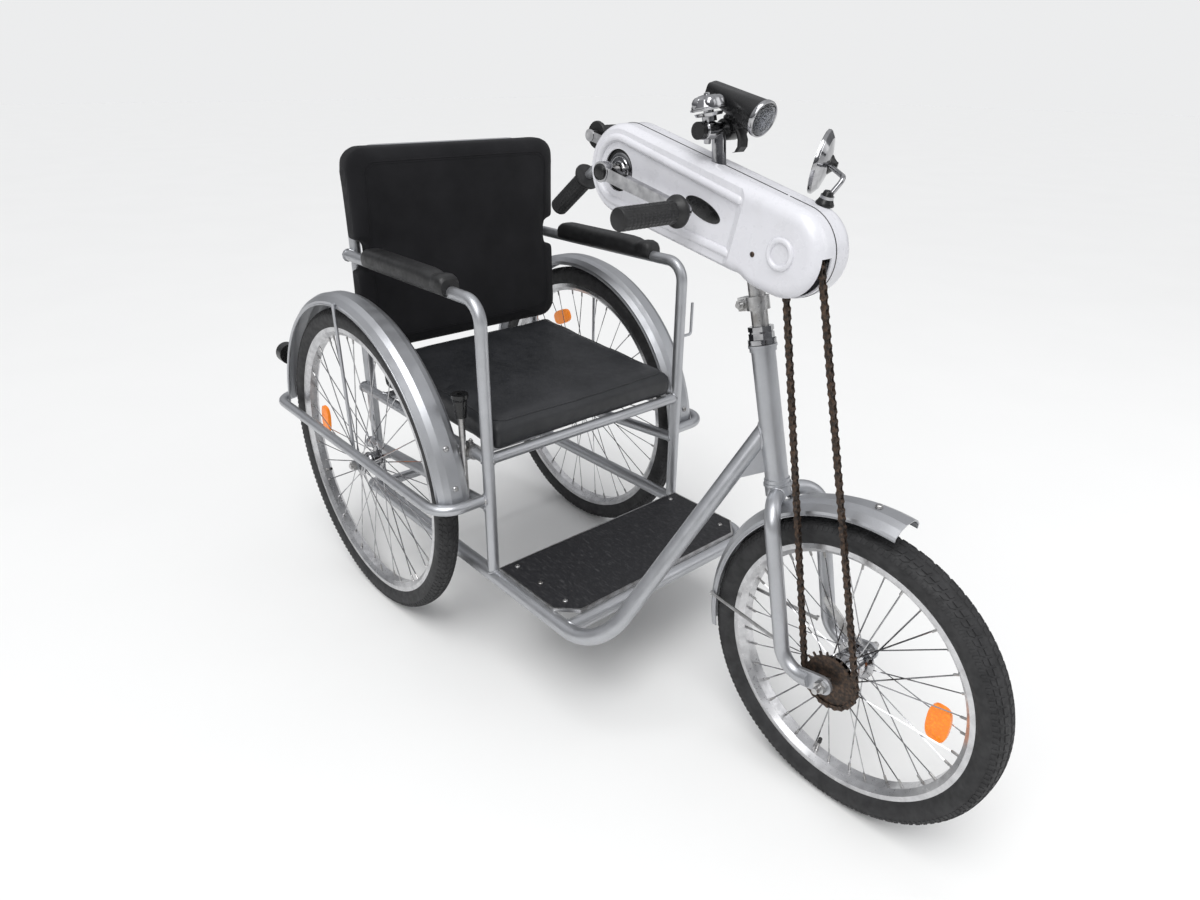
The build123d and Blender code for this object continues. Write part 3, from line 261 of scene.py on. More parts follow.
def clear_lens():
    """Clear moulded lens with fine ribs."""
    graph = Graph("clear_lens")
    ribs = graph.waves("Y", Scale=120)
    graph.colour(graph.noise(90, 2), (0.92, 0.94, 0.97), (0.86, 0.88, 0.92))
    graph.roughness(graph.range(ribs, 0, 1, 0.04, 0.14))
    graph.bump(ribs, 0.3, 0.0006)
    graph.set(Transmission_Weight=1.0, IOR=1.45)
    return graph.material


def board_black():
    """Black resin-faced board with scuffs and grit."""
    graph = Graph("board_black")
    scuffs = graph.mottle(70, 6, 0.55, 0.75, stretch=(1, 4, 1))
    graph.colour(scuffs, (0.010, 0.010, 0.012), (0.05, 0.05, 0.052))
    graph.roughness(graph.mottle(150, 4, 0.3, 0.7, 0.45, 0.7))
    graph.bump(graph.cells(1100), 0.25, 0.0004)
    return graph.material


finishes = {
    "silver": silver_paint(),
    "steel": bare_metal("plated_steel", (0.30, 0.29, 0.28), (0.55, 0.55, 0.55), 0.25, 0.45),
    "chrome": bare_metal("chrome", (0.26, 0.26, 0.27), (0.50, 0.50, 0.51), 0.05, 0.15),
    "rim": bare_metal("rim_metal", (0.48, 0.48, 0.49), (0.66, 0.66, 0.67), 0.25, 0.4),
    "dark_steel": chain_steel(),
    "white_plastic": white_shell(),
    "black_plastic": black_rubber("black_plastic", 0.012, 0.2, 0.36),
    "black_rubber": black_rubber("black_rubber"),
    "black_vinyl": black_vinyl(),
    "black_fabric": black_cloth(),
    "black_board": board_black(),
    "tyre": black_rubber("tyre_rubber", 0.032, 0.6, 0.8),
    # The amber reflector's emission is a painted glow; the reflector is no lamp.
    "amber": prism_plastic(
        "amber_reflector", 260, ((0.92, 0.30, 0.02), (0.80, 0.17, 0.008)), (0.12, 0.3), 0.5, 0.001,
        Emission_Color=(1.0, 0.33, 0.02, 1), Emission_Strength=0.25,
    ),
    "clear_lens": clear_lens(),
    "red_lens": prism_plastic(
        "red_lens", 420, ((0.55, 0.012, 0.010), (0.32, 0.004, 0.004)), (0.1, 0.25), 0.4, 0.0008
    ),
    "mirror": bare_metal("mirror_face", (0.78, 0.79, 0.8), (0.82, 0.83, 0.84), 0.01, 0.03),
}
sharp_angle = radians(35)
slot_of = {entry["node"]: entry["material_slot"] for entry in frame["record"]["subparts"]}


def finish_nodes():
    for name, node in nodes.items():
        node.data.materials.clear()
        node.data.materials.append(finishes[slot_of[name]])


def shade_smooth(piece):
    """Smooth shading that keeps sharp edges."""
    piece.data.polygons.foreach_set("use_smooth", [True] * len(piece.data.polygons))
    mesh = bmesh.new()
    mesh.from_mesh(piece.data)
    for edge in mesh.edges:
        sharp = len(edge.link_faces) == 2 and edge.calc_face_angle(0) > sharp_angle
        edge.smooth = not sharp
    mesh.to_mesh(piece.data)
    mesh.free()


def new_piece(name, mesh, body, slot):
    bmesh.ops.recalc_face_normals(mesh, faces=mesh.faces)
    data = bpy.data.meshes.new(name)
    mesh.to_mesh(data)
    mesh.free()
    piece = new_object(name, data)
    piece.data.materials.append(finishes[slot])
    shade_smooth(piece)
    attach(piece, body)
    return piece


# Places and directions; lengths are in millimetres until a point is made. The x values count
# from the rear axle, which is this far behind the frame's origin
rear_axle_x = -416.0
rear_axle_z = 324
rear_wheel_y = 293
front_axle_x, front_axle_z = 980, 246
crank_x, crank_z = 501, 934
column_x, column_z = 816, 498
seam_y = -27
chain_y = -45
post_x, post_y = 371, 238
back_post_x, back_post_y = -105, 222
rail_z, seat_z, armrest_z = 206, 447, 730
board_top = 225.3
post_radius, rail_radius, seat_rail_radius = 11, 14, 10
forward = Vector((1, 0, 0))
left = Vector((0, 1, 0))
up = Vector((0, 0, 1))
head_lean = radians(14.5)
up_column = Vector((-sin(head_lean), 0, cos(head_lean)))
ahead_of_column = Vector((cos(head_lean), 0, sin(head_lean)))
case_fall = radians(14.4)
case_along = Vector((cos(case_fall), 0, -sin(case_fall)))
case_up = Vector((sin(case_fall), 0, cos(case_fall)))
crank_turn = radians(-12.5)
crank_way = Vector((cos(crank_turn), 0, sin(crank_turn)))
crank_length = 172


def spot(x, y, z):
    """A point from millimetres forward of the rear axle, to the left and up."""
    return Vector((x + rear_axle_x, y, z)) / 1000


def in_case(along, right, rise):
    """A point from the crank axle: along the housing, to the right of its seam, and up."""
    return spot(crank_x, seam_y - right, crank_z) + (case_along * along + case_up * rise) / 1000


def on_column(ahead, to_left, rise):
    """A point from the foot of the steering column: ahead of it, to the left and up along it."""
    return spot(column_x, to_left, column_z) + (ahead_of_column * ahead + up_column * rise) / 1000


def rear_wheel(side):
    """The middle of the rear wheel on the right (-1) or the left (1)."""
    return spot(0, side * rear_wheel_y, rear_axle_z)


def turns(count):
    return [2 * pi * k / count for k in range(count)]


def signed_power(value, power):
    return abs(value) ** power * (1 if value >= 0 else -1)


def square_to(axis):
    """Two directions square to an axis and to each other."""
    side = axis.cross(up if abs(axis.z) < 0.9 else forward).normalized()
    return side, axis.cross(side).normalized()


# Building blocks of the meshes
def skin(mesh, loops, closed=True, joined=False, capped=True):
    """Quads between rows of points; a joined skin runs from its last row back to its first."""
    rows = [[mesh.verts.new(point) for point in loop] for loop in loops]
    count = len(rows[0])
    pairs = list(zip(rows, rows[1:]))
    if joined:
        pairs.append((rows[-1], rows[0]))
    for low, high in pairs:
        for k in range(count if closed else count - 1):
            following = (k + 1) % count
            mesh.faces.new((low[k], low[following], high[following], high[k]))
    if capped and closed and not joined:
        mesh.faces.new(rows[0][::-1])
        mesh.faces.new(rows[-1])


def lathe(mesh, origin, axis, profile, count, joined=False):
    """A turned form from rows of radius and height along an axis."""
    axis = axis.normalized()
    first, second = square_to(axis)
    loops = [
        [origin + (axis * height + toward(first, second, a) * radius) / 1000 for a in turns(count)]
        for radius, height in profile
    ]
    skin(mesh, loops, joined=joined)


def tube(mesh, path, radius, count, joined=False, ripple=0.0):
    """A round tube along a path of points; ripple makes its thickness uneven, as a weld's is."""
    loops = []
    normal = None
    for k, point in enumerate(path):
        ahead = path[(k + 1) % len(path)] if joined or k + 1 < len(path) else point
        behind = path[k - 1] if joined or k else point
        way = (ahead - behind).normalized()
        normal = square_to(way)[0] if normal is None else (normal - way * normal.dot(way)).normalized()
        other = way.cross(normal)
        reach = radius * (1 + ripple * sin(2.4 * k)) / 1000
        loops.append([point + toward(normal, other, angle) * reach for angle in turns(count)])
    skin(mesh, loops, joined=joined)


def hex_nut(mesh, place, axis, across, height, stud):
    """A washer, a nut with chamfered corners and the end of its bolt."""
    half = across / 2
    lathe(mesh, place, axis, [(half * 1.25, 0), (half * 1.25, 1.0), (half * 1.1, 1.3)], 24)
    nut = [(half, 1.0), (half * 1.1, 2.0), (half * 1.1, height), (half * 0.9, height + 1)]
    lathe(mesh, place, axis, nut, 6)
    if stud:
        lathe(mesh, place, axis, [(stud / 2, 1), (stud / 2, height + 3), (stud / 2 - 0.8, height + 4)], 16)


def dome_bolt(mesh, place, axis, width, height):
    """A domed head with a hexagon socket."""
    half = width / 2
    dome = (
        (1.0, 0), (1.0, 0.3), (0.93, 0.62), (0.75, 0.88), (0.48, 1.0), (0.42, 0.97), (0.4, 0.45), (0.05, 0.4)
    )
    lathe(mesh, place, axis, [(half * share, height * rise) for share, rise in dome], 24)


def add_made(name, body, slot, maker, rows, **how):
    """One piece, from a function that adds to a mesh and the rows of what it takes."""
    mesh = bmesh.new()
    for row in rows:
        maker(mesh, *row, **how)
    return new_piece(name, mesh, body, slot)


# Soft pieces: each plain form is remeshed, blown up as cloth and capped in how far it moves
cushion_grid = 0.006
cloth_frames = 20


def inflated(source, name, body, slot, cap, rest_axis):
    """A stuffed form from a plain solid piece; it stays flat on the low side of its rest axis."""
    data = source.data.copy()
    piece = new_object(name, data)
    corners = [Vector(point.co) for point in data.vertices]
    low = Vector([min(c[k] for c in corners) for k in range(3)])
    high = Vector([max(c[k] for c in corners) for k in range(3)])
    modify(piece, "REMESH", mode="VOXEL", voxel_size=cushion_grid)
    start = [point.co.copy() for point in piece.data.vertices]
    cloth = piece.modifiers.new("cloth", "CLOTH")
    cloth.settings.use_pressure = True
    cloth.settings.uniform_pressure_force = 4
    cloth.settings.effector_weights.gravity = 0
    cloth.settings.quality = 5
    scene = bpy.context.scene
    for step in range(1, cloth_frames + 1):
        scene.frame_set(step)
    apply_modifiers(piece)
    scene.frame_set(1)
    for point, origin in zip(piece.data.vertices, start):
        shift = point.co - origin
        if shift.length > cap:
            point.co = origin + shift * (cap / shift.length)
    modify(piece, "CORRECTIVE_SMOOTH", rest_source="ORCO", use_only_smooth=True, iterations=4)
    fill_box(piece, low, high, rest_axis)
    modify(piece, "SUBSURF", levels=1)
    piece.data.polygons.foreach_set("use_smooth", [True] * len(piece.data.polygons))
    piece.data.materials.clear()
    piece.data.materials.append(finishes[slot])
    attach(piece, body)
    return piece


def fill_box(piece, low, high, rest_axis):
    """Scales a blown-up form back to its solid's other two sizes, and flattens the side it rests on."""
    points = [point.co for point in piece.data.vertices]
    for k in range(3):
        if k == rest_axis:
            continue
        least, most = min(p[k] for p in points), max(p[k] for p in points)
        share = (high[k] - low[k]) / (most - least)
        for point in points:
            point[k] = low[k] + (point[k] - least) * share
    for point in points:
        point[rest_axis] = max(point[rest_axis], low[rest_axis])


def apply_modifiers(piece):
    """Turns what the modifiers make into the piece's own mesh."""
    graph = bpy.context.evaluated_depsgraph_get()
    made = bpy.data.meshes.new_from_object(piece.evaluated_get(graph))
    piece.modifiers.clear()
    piece.data = made


def modify(piece, kind, **settings):
    configure(piece.modifiers.new(kind, kind), settings)
    apply_modifiers(piece)


def on_surface(piece, origin, way):
    """The first point of a piece that a ray meets, or nothing."""
    hit, place, *_ = piece.ray_cast(origin, way)
    return place if hit else None


def rounded_path(half_width, half_height, corner):
    """Points round a rounded rectangle, in millimetres from its middle."""
    count = 10
    points = []
    for k, (x, y) in enumerate(((1, 1), (-1, 1), (-1, -1), (1, -1))):
        x, y = x * (half_width - corner), y * (half_height - corner)
        angles = [pi / 2 * (k + j / count) for j in range(count + 1)]
        points += [(x + corner * cos(angle), y + corner * sin(angle)) for angle in angles]
    return points


def refined(points, step):
    """The closed path's points, with more between them so that none are further apart than a step."""
    path = []
    for first, second in zip(points, points[1:] + points[:1]):
        parts = max(1, int(sqrt((second[0] - first[0]) ** 2 + (second[1] - first[1]) ** 2) / step))
        path += [tuple(a + (b - a) * k / parts for a, b in zip(first, second)) for k in range(parts)]
    return path


def add_cushion():
    """The seat cushion in black vinyl, with a welt round its top."""
    piece = inflated(nodes["seat_cushion"], "seat_cushion_soft", "frame", "black_vinyl", 0.009, 2)
    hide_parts("seat_cushion")
    low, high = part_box("seat_cushion")
    middle = (low + high) / 2
    size = (high - low) * 500
    path = []
    for x, y in refined(rounded_path(size.x - 13, size.y - 13, 22), 8):
        place = on_surface(piece, Vector((middle.x + x / 1000, middle.y + y / 1000, high.z + 0.1)), -up)
        if place:
            path.append(place)
    add_made("seat_cushion_welt", "frame", "black_vinyl", tube, [(path, 1.7, 8)], joined=True)


def add_backrest():
    """The backrest in black cloth, with a sewn line inside its front edge."""
    piece = inflated(nodes["backrest"], "backrest_soft", "frame", "black_fabric", 0.007, 0)
    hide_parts("backrest")
    low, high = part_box("backrest")
    middle = (low + high) / 2
    size = (high - low) * 500
    rows = []
    for inset, thick in ((27, 0.9), (31, 0.7)):
        path = []
        for y, z in refined(rounded_path(size.y - inset - 3, size.z - inset, 24), 8):
            start = Vector((high.x + 0.1, middle.y + y / 1000, middle.z + z / 1000))
            place = on_surface(piece, start, -forward)
            if place:
                path.append(place)
        rows.append((path, thick, 6))
    add_made("backrest_stitching", "frame", "black_fabric", tube, rows, joined=True)


pad_rows = [("armrest_pad_right", -240.0), ("armrest_pad_left", 240.0)]
pad_back, pad_length = -6, 293
pad_top, pad_bottom = 762.0, 723.5
# How full a pad is at shares of its length from the back; the neck and the roll are at the front
pad_swells = (
    (0.0, 0.62), (0.025, 0.86), (0.07, 1.0), (0.76, 0.97), (0.82, 0.88), (0.86, 0.72), (0.88, 0.70),
    (0.91, 0.84), (0.95, 0.90), (0.985, 0.74), (1.0, 0.45),
)


def pad_section(share, y):
    """A section of an armrest pad at its share of the length from the back."""
    swell = 1.0
    for (first, low), (second, high) in zip(pad_swells, pad_swells[1:]):
        if first <= share <= second:
            swell = low + (high - low) * (share - first) / (second - first)
    half_width = 22.0 * (0.62 + 0.38 * swell)
    top = pad_top - 17.0 * (1 - swell)
    middle = (top + pad_bottom) / 2
    half_height = (top - pad_bottom) / 2
    points = []
    for angle in turns(36):
        across = half_width * signed_power(cos(angle), 0.62)
        rise = half_height * signed_power(sin(angle), 0.72)
        points.append(spot(pad_back + pad_length * share, y + across, middle + rise))
    return points


def add_pads():
    """The two armrest pads: foam rubber that wraps the tube, with a neck and a roll in front."""
    shares = [0, 0.01, 0.025, 0.04, 0.06] + [0.06 + 0.74 * k / 18 for k in range(1, 19)]
    shares += [0.80 + 0.2 * k / 20 for k in range(1, 21)]
    for name, y in pad_rows:
        loops = [pad_section(share, y) for share in shares]
        piece = add_made(name, "frame", "black_rubber", skin, [(loops,)])
        if y < 0:
            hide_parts("armrest_pads")


# Tyres: radius, width, rim radius, bead half width, squareness; and for each row of tread blocks
# the shares that it runs between, the count, how much of a step a block fills, and its skew
rear_tyre = (322.6, 42.0, 286.0, 13.0, 0.86)
front_tyre = (244.6, 54.0, 209.0, 16.0, 0.70)
rear_tread = [
    (0.04, 0.20, 132, 0.80, 0.1), (0.27, 0.47, 132, 0.62, 0.4), (0.54, 0.78, 176, 0.52, 0.25),
]
front_tread = [
    (0.04, 0.24, 112, 0.78, 0.15), (0.31, 0.50, 112, 0.62, 0.4), (0.57, 0.84, 168, 0.50, 0.2),
]


def tyre_section(row, share):
    """Across and out on a tyre's outside; share runs from -2 at one bead over the crown to 2."""
    radius, width, rim, bead, square = row
    half = width / 2
    depth = radius - rim
    side = 1 if share >= 0 else -1
    share = abs(share)
    if share <= 1:
        angle = share * pi / 2
        return side * half * sin(angle) ** square, rim + depth * (0.5 + 0.5 * max(cos(angle), 0) ** square)
    fall = min(share - 1, 1)
    across = bead + (half - bead) * max(cos(fall * pi / 2), 0) ** 0.8
    return side * across, rim + depth * 0.5 * (1 - fall) - 3 * fall


def tyre_point(row, centre, turn, share, lift=0.0):
    across, out = tyre_section(row, share)
    if lift:
        before, after = tyre_section(row, share - 0.02), tyre_section(row, share + 0.02)
        slope = Vector((before[1] - after[1], after[0] - before[0])).normalized()
        across += slope.x * lift
        out += slope.y * lift
    return centre + toward(forward, up, turn) * (out / 1000) + left * (across / 1000)


def add_tyre(node, centre, row, tread, body):
    mesh = bmesh.new()
    shares = [-2 + k / 5 for k in range(6)] + [-1 + k / 12 for k in range(1, 24)]
    shares += [1 + k / 5 for k in range(6)]
    loops = [[tyre_point(row, centre, turn, share) for share in shares] for turn in turns(160)]
    skin(mesh, loops, closed=False, joined=True)
    for low, high, count, filled, skew in tread:
        step = 2 * pi / count
        for k in range(2 * count):
            side = 1 if k % 2 else -1
            middle = step * (k // 2 + (0.5 if side > 0 else 0))
            half = step * filled / 2
            lean = step * skew
            corners = [(low, -half), (low, half), (high, half + lean), (high, lean - half)]
            foot = [tyre_point(row, centre, middle + a, side * share, -0.4) for share, a in corners]
            centre_share = (low + high) / 2
            head = []
            for share, a in corners:
                narrow = side * (centre_share + (share - centre_share) * 0.86)
                turn = middle + lean / 2 + (a - lean / 2) * 0.84
                head.append(tyre_point(row, centre, turn, narrow, 1.3))
            base = [mesh.verts.new(point) for point in foot]
            top = [mesh.verts.new(point) for point in head]
            for j in range(4):
                mesh.faces.new((base[j], base[(j + 1) % 4], top[(j + 1) % 4], top[j]))
            mesh.faces.new(top)
    piece = new_piece(node + "_treaded", mesh, body, "tyre")
    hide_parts(node)


def add_valve(name, centre, rim, angle, body):
    """A valve stem with its cap, inward from the rim."""
    out = toward(forward, up, angle)
    stem = [(3.6, 0), (3.6, 3), (2.6, 4), (2.6, 22)]
    cap = [(3.2, 0), (3.4, 2), (3.2, 9), (1.6, 10.5)]
    for end, slot, depth, profile in (("_valve", "steel", 15, stem), ("_valve_cap", "black_plastic", 35, cap)):
        foot = centre + out * ((rim - depth) / 1000)
        add_made(name + end, body, slot, lathe, [(foot, -out, profile, 14)])


def add_nipples(name, centre, rim, body):
    """Spoke nipples in the rim's well."""
    rows = []
    for k, angle in enumerate(turns(36)):
        out = toward(up, forward, angle)
        foot = centre + out * ((rim - 29) / 1000) + left * (0.0042 if k % 2 else -0.0042)
        rows.append((foot, out, [(1.5, 0), (2.0, 1.5), (2.0, 10), (2.8, 12.5)], 8))
    add_made(name + "_nipples", body, "steel", lathe, rows)


def add_hub_rings(name, centre, flange, flange_y, body):
    """Bright dust rings and a grease ring on a hub."""
    dust = [(flange - 8, 0), (flange - 8, 1.6), (flange - 11, 2.6), (flange - 11, 0)]
    shell = flange * 0.72
    grease = [(shell + 1.2, -4), (shell + 2.4, -2), (shell + 2.4, 2), (shell + 1.2, 4)]
    rows = [
        (centre + left * (side * (flange_y + 2) / 1000), left * side, dust, 36, True) for side in (-1, 1)
    ]
    add_made(name + "_rings", body, "chrome", lathe, rows + [(centre, left, grease, 36)])


def add_reflector(node, centre, rim, angle, body):
    """An amber reflector with a raised frame; its long side runs along the rim."""
    out = toward(forward, up, angle)
    along = toward(up, -forward, angle)
    middle = centre + out * (rim * 0.72 / 1000)
    loops = []
    steps = ((-4.0, 0.86), (-3.2, 1.0), (3.2, 1.0), (4.0, 0.93), (4.0, 0.86), (3.1, 0.82), (3.1, 0.3))
    for across, share in steps:
        loop = []
        for turn in turns(48):
            x = 31 * signed_power(cos(turn), 0.75)
            y = 17 * signed_power(sin(turn), 0.62)
            loop.append(middle + (along * x + out * y) * (share / 1000) + left * (across / 1000))
        loops.append(loop)
    piece = add_made(node + "_framed", body, "amber", skin, [(loops,)])
    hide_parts(node)


# Chain: the same run as the solid one, with real link plates, rollers and pins
chain_pitch = 12.7
chain_links = 116
chain_lean = radians(12.55)
chain_way = Vector((-sin(chain_lean), 0, cos(chain_lean)))
chain_across = Vector((chain_way.z, 0, -chain_way.x))
hub_teeth, jack_teeth = 22, 14
hub_ring = hub_teeth * chain_pitch / (2 * pi)
jack_ring = jack_teeth * chain_pitch / (2 * pi)


def shaft_distance():
    """How far apart the two shafts are, from the chain's length."""
    length = chain_links * chain_pitch
    drop = hub_ring - jack_ring
    distance = length / 2
    for _ in range(8):
        span = (length - pi * (hub_ring + jack_ring) - 2 * drop * asin(drop / distance)) / 2
        distance = sqrt(span ** 2 + drop ** 2)
    return distance


chain_distance = shaft_distance()
chain_slope = asin((hub_ring - jack_ring) / chain_distance)
chain_span = chain_distance * cos(chain_slope)


def on_ring(along, ring, angle):
    """A point on a sprocket's ring; the angle starts at the forward side and turns up."""
    place = spot(front_axle_x, chain_y, front_axle_z) + chain_way * ((along + ring * sin(angle)) / 1000)
    return place + chain_across * (ring * cos(angle) / 1000)


def on_chain(length):
    """The point at a length along the closed chain, from where it meets the upper ring."""
    over = jack_ring * (pi - 2 * chain_slope)
    under = hub_ring * (pi + 2 * chain_slope)
    if length < over:
        return on_ring(chain_distance, jack_ring, chain_slope + length / jack_ring)
    length -= over
    if length < chain_span:
        top = on_ring(chain_distance, jack_ring, pi - chain_slope)
        return top.lerp(on_ring(0, hub_ring, pi - chain_slope), length / chain_span)
    length -= chain_span
    if length < under:
        return on_ring(0, hub_ring, pi - chain_slope + length / hub_ring)
    low = on_ring(0, hub_ring, chain_slope)
    return low.lerp(on_ring(chain_distance, jack_ring, chain_slope), (length - under) / chain_span)


def plate_outline():
    """A link plate's outline: two round ends with a waist between them."""
    end_radius, waist = 4.1, 2.9
    points = []
    for way in (1, -1):
        for k in range(9):
            angle = radians(-115 + 230 * k / 8)
            points.append((way * (chain_pitch / 2 + end_radius * cos(angle)), way * end_radius * sin(angle)))
        points.append((0.0, way * waist))
    return points


def add_chain():
    mesh = bmesh.new()
    outline = plate_outline()
    pins = [on_chain(k * chain_pitch) for k in range(chain_links)]
    for k, pin in enumerate(pins):
        following = pins[(k + 1) % chain_links]
        way = (following - pin).normalized()
        rise = way.cross(left)
        middle = (pin + following) / 2
        near, far = (1.7, 2.9) if k % 2 else (3.0, 4.2)
        for side in (-1, 1):
            skin(mesh, [
                [middle + (way * x + rise * y + left * (side * across)) / 1000 for x, y in outline]
                for across in (near, far)
            ])
        lathe(mesh, pin - left * 0.0016, left, [(3.9, 0), (3.9, 3.2)], 12)
        lathe(mesh, pin - left * 0.0048, left, [(1.5, 0), (1.8, 0.4), (1.8, 9.2), (1.5, 9.6)], 8)
    piece = new_piece("chain_links", mesh, "steering", "dark_steel")
    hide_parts("drive_chain")


# Grips: a rounded flange, then a body with rows of small blocks
grip_foot = [
    (15.0, 0), (21.5, 0), (23.0, 2.2), (23.0, 5.0), (21.8, 7.6), (18.6, 10.4), (16.4, 13.0), (15.4, 15.0)
]
block_pitch, block_length = 7.2, 4.8
crank_grip_length, handle_grip_length = 115, 104


def add_grip(mesh, origin, way, length):
    first, second = square_to(way)
    rows = [(radius, height, 0.0) for radius, height in grip_foot]
    height = 16.0
    while height < length - 8:
        rows.append((15.2, height, 1.0 if (height - 16) % block_pitch < block_length else 0.0))
        height += 1.2
    ends = ((15.6, 6), (15.8, 3), (14.6, 0.8), (12.0, 0), (1.0, 0))
    rows += [(radius, length - short, 0) for radius, short in ends]
    loops = []
    for radius, height, raised in rows:
        loop = []
        for k, angle in enumerate(turns(90)):
            block = 0.8 * raised if k % 5 < 3 else 0.0
            reach = (radius + block) / 1000
            loop.append(origin + way * (height / 1000) + toward(first, second, angle) * reach)
        loops.append(loop)
    skin(mesh, loops)


def add_grips():
    rows = []
    for side, way, y in ((-1, crank_way, -96), (1, -crank_way, 42)):
        eye = spot(crank_x, y, crank_z) + way * (crank_length / 1000)
        rows.append((eye, left * side, crank_grip_length))
    piece = add_made("crank_grips_ribbed", "crank", "black_rubber", add_grip, rows)
    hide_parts("crank_grips")
    tip = spot(289, -5, 851)
    way = (tip - spot(402, -5, 936)).normalized()
    row = (tip - way * 0.1, way, handle_grip_length)
    piece = add_made("steering_grip_ribbed", "steering", "black_rubber", add_grip, [row])
    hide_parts("grab_handle_grip")


# Welds: a bead where a tube's end meets another tube
def weld(mesh, start, way, radius, other, other_way, other_radius):
    way = way.normalized()
    other_way = other_way.normalized()
    first, second = square_to(way)
    path = []
    for angle in turns(30):
        point = start + toward(first, second, angle) * (radius / 1000)
        gap = point - other
        across = gap - other_way * gap.dot(other_way)
        slide = way - other_way * way.dot(other_way)
        a, b = slide.dot(slide), 2 * across.dot(slide)
        root = max(b * b - 4 * a * (across.dot(across) - (other_radius / 1000) ** 2), 0)
        path.append(point + way * ((-b - sqrt(root)) / (2 * a)))
    tube(mesh, path, 2.3, 7, joined=True, ripple=0.14)


def add_welds():
    """Beads at the frame's joints; each row is one tube's axis and the one that it meets."""
    rows = []
    slope = Vector((371, 0, 29)).normalized()
    front, back = post_x, back_post_x
    post, seat = post_radius, seat_rail_radius
    for side, rail in ((-1, rail_radius), (1, rail_radius - 1)):
        y, back_y, near = side * post_y, side * back_post_y, side * 100
        out = left * side
        rows += [
            (spot(front, y, 300), -up, post, spot(front, y, rail_z), forward, rail),
            (spot(back, back_y, 300), -up, post, spot(back, y, rail_z), forward, rail),
            (spot(300, y, seat_z), forward, seat, spot(front, y, seat_z), up, post),
            (spot(0, y, seat_z), -forward, seat, spot(back, back_y, seat_z), up, post),
            (spot(front, near, seat_z), out, seat, spot(front, y, seat_z), up, post),
            (spot(-20, near, seat_z), out, seat, spot(-20, y, seat_z), forward, seat),
            (spot(250, y, 343.5), slope, post, spot(front, y, 353), up, post),
            (spot(0, y, rear_axle_z), -slope, post, spot(back, back_y, 316), up, post),
            (spot(366, side * 290, 368), -out, seat, spot(front, y, 368), up, post),
            (spot(back, near, rail_z), out, post, spot(back, y, rail_z), forward, rail),
            (spot(0, y, armrest_z), -forward, post, spot(back, back_y, armrest_z), up, post),
            (spot(0, side * 275, rear_axle_z), -out, 6, spot(0, y, rear_axle_z), slope, post),
        ]
    rows.append((spot(588, -100, rail_z), -left, 13, spot(588, -post_y, rail_z), forward, rail_radius))
    joint = on_column(-10, 0, 88)
    column_foot = on_column(0, 0, 0)
    run = joint - spot(668, -post_y, rail_z)
    rows.append((joint - run * 0.4, run, rail_radius, column_foot, up_column, 18))
    add_made("frame_welds", "frame", "silver", weld, rows)
    rows = []
    for side in (-1, 1):
        shoulder, root = on_column(34, side * 62, -8), on_column(6, side * 12, -14)
        rows.append((shoulder, root - shoulder, 12, column_foot, up_column, 20))
    add_made("fork_welds", "steering", "silver", weld, rows)


# Fenders' rolled edges, the frame's bolts and the footboard's edging
front_fender = spot(996, 0, 251.3)


def arc(centre, radius, across, start, end):
    """Points on an arc beside a wheel; the angles are in degrees up from the forward side."""
    points = []
    for k in range(73):
        way = toward(forward, up, radians(start + (end - start) * k / 72))
        points.append(centre + way * (radius / 1000) + left * (across / 1000))
    return points


def add_fender_edges():
    rows = [
        (arc(rear_wheel(side), 334.2, edge, 6, 173), 1.9, 8) for side in (-1, 1) for edge in (-30.3, 30.3)
    ]
    add_made("rear_fender_edges", "frame", "silver", tube, rows)
    rows = [(arc(front_fender, 257.8, edge, 82, 191), 1.7, 8) for edge in (-29.3, 29.3)]
    add_made("front_fender_edges", "steering", "silver", tube, rows)


def add_frame_bolts():
    rows = []
    for side in (-1, 1):
        for angle in (12, 24, 165):
            out = toward(forward, up, radians(angle))
            rows.append((rear_wheel(side) + out * 0.3543, out, 11, 3.4))
        for x in (402, 473, 545):
            rows.append((spot(x, side * 205, board_top), up, 10, 2.6))
        rows.append((spot(post_x, side * (post_y + post_radius), 368), left * side, 13, 4))
        for z in (560, 690, 880):
            rows.append((spot(back_post_x - post_radius, side * back_post_y, z), -forward, 12, 4))
        rows.append((spot(17, side * post_y, armrest_z + post_radius), up, 11, 4.2))
    add_made("frame_bolts", "frame", "steel", dome_bolt, rows)
    rows = [(spot(317, -238, 461), up, 9, 5, 5), (spot(303, -252, 447), -left, 8, 4, 4)]
    add_made("brake_lever_bolts", "frame", "steel", hex_nut, rows)


def add_board_edge():
    """A bright edging strip round the footboard."""
    outline = [(386, -234), (548, -234), (582, -200), (582, 200), (548, 234), (386, 234)]
    loops = []
    middle = 484
    for x, y in outline:
        outer = (middle + (x - middle) * 1.012, y * 1.005)
        inner = (middle + (x - middle) * 0.985, y * 0.994)
        loops.append([spot(*outer, 219.5), spot(*outer, 225.9), spot(*inner, 225.9), spot(*inner, 225.1)])
    add_made("footboard_edge", "frame", "steel", skin, [(loops,)], joined=True)


# Housing: shells, seam, screws, blank oval label, bearing rings, a ring of painted shade
body_end, nose_start, case_top = 250, 298, 67


def top_dip(along):
    """How far the solid housing's top sinks between its body's round end and its nose's."""
    if not body_end < along < nose_start:
        return 0.0
    body = 6.5 + sqrt(60.5 ** 2 - (along - body_end) ** 2)
    nose = 4.5 + sqrt(62.5 ** 2 - (nose_start - along) ** 2)
    return case_top - max(body, nose)


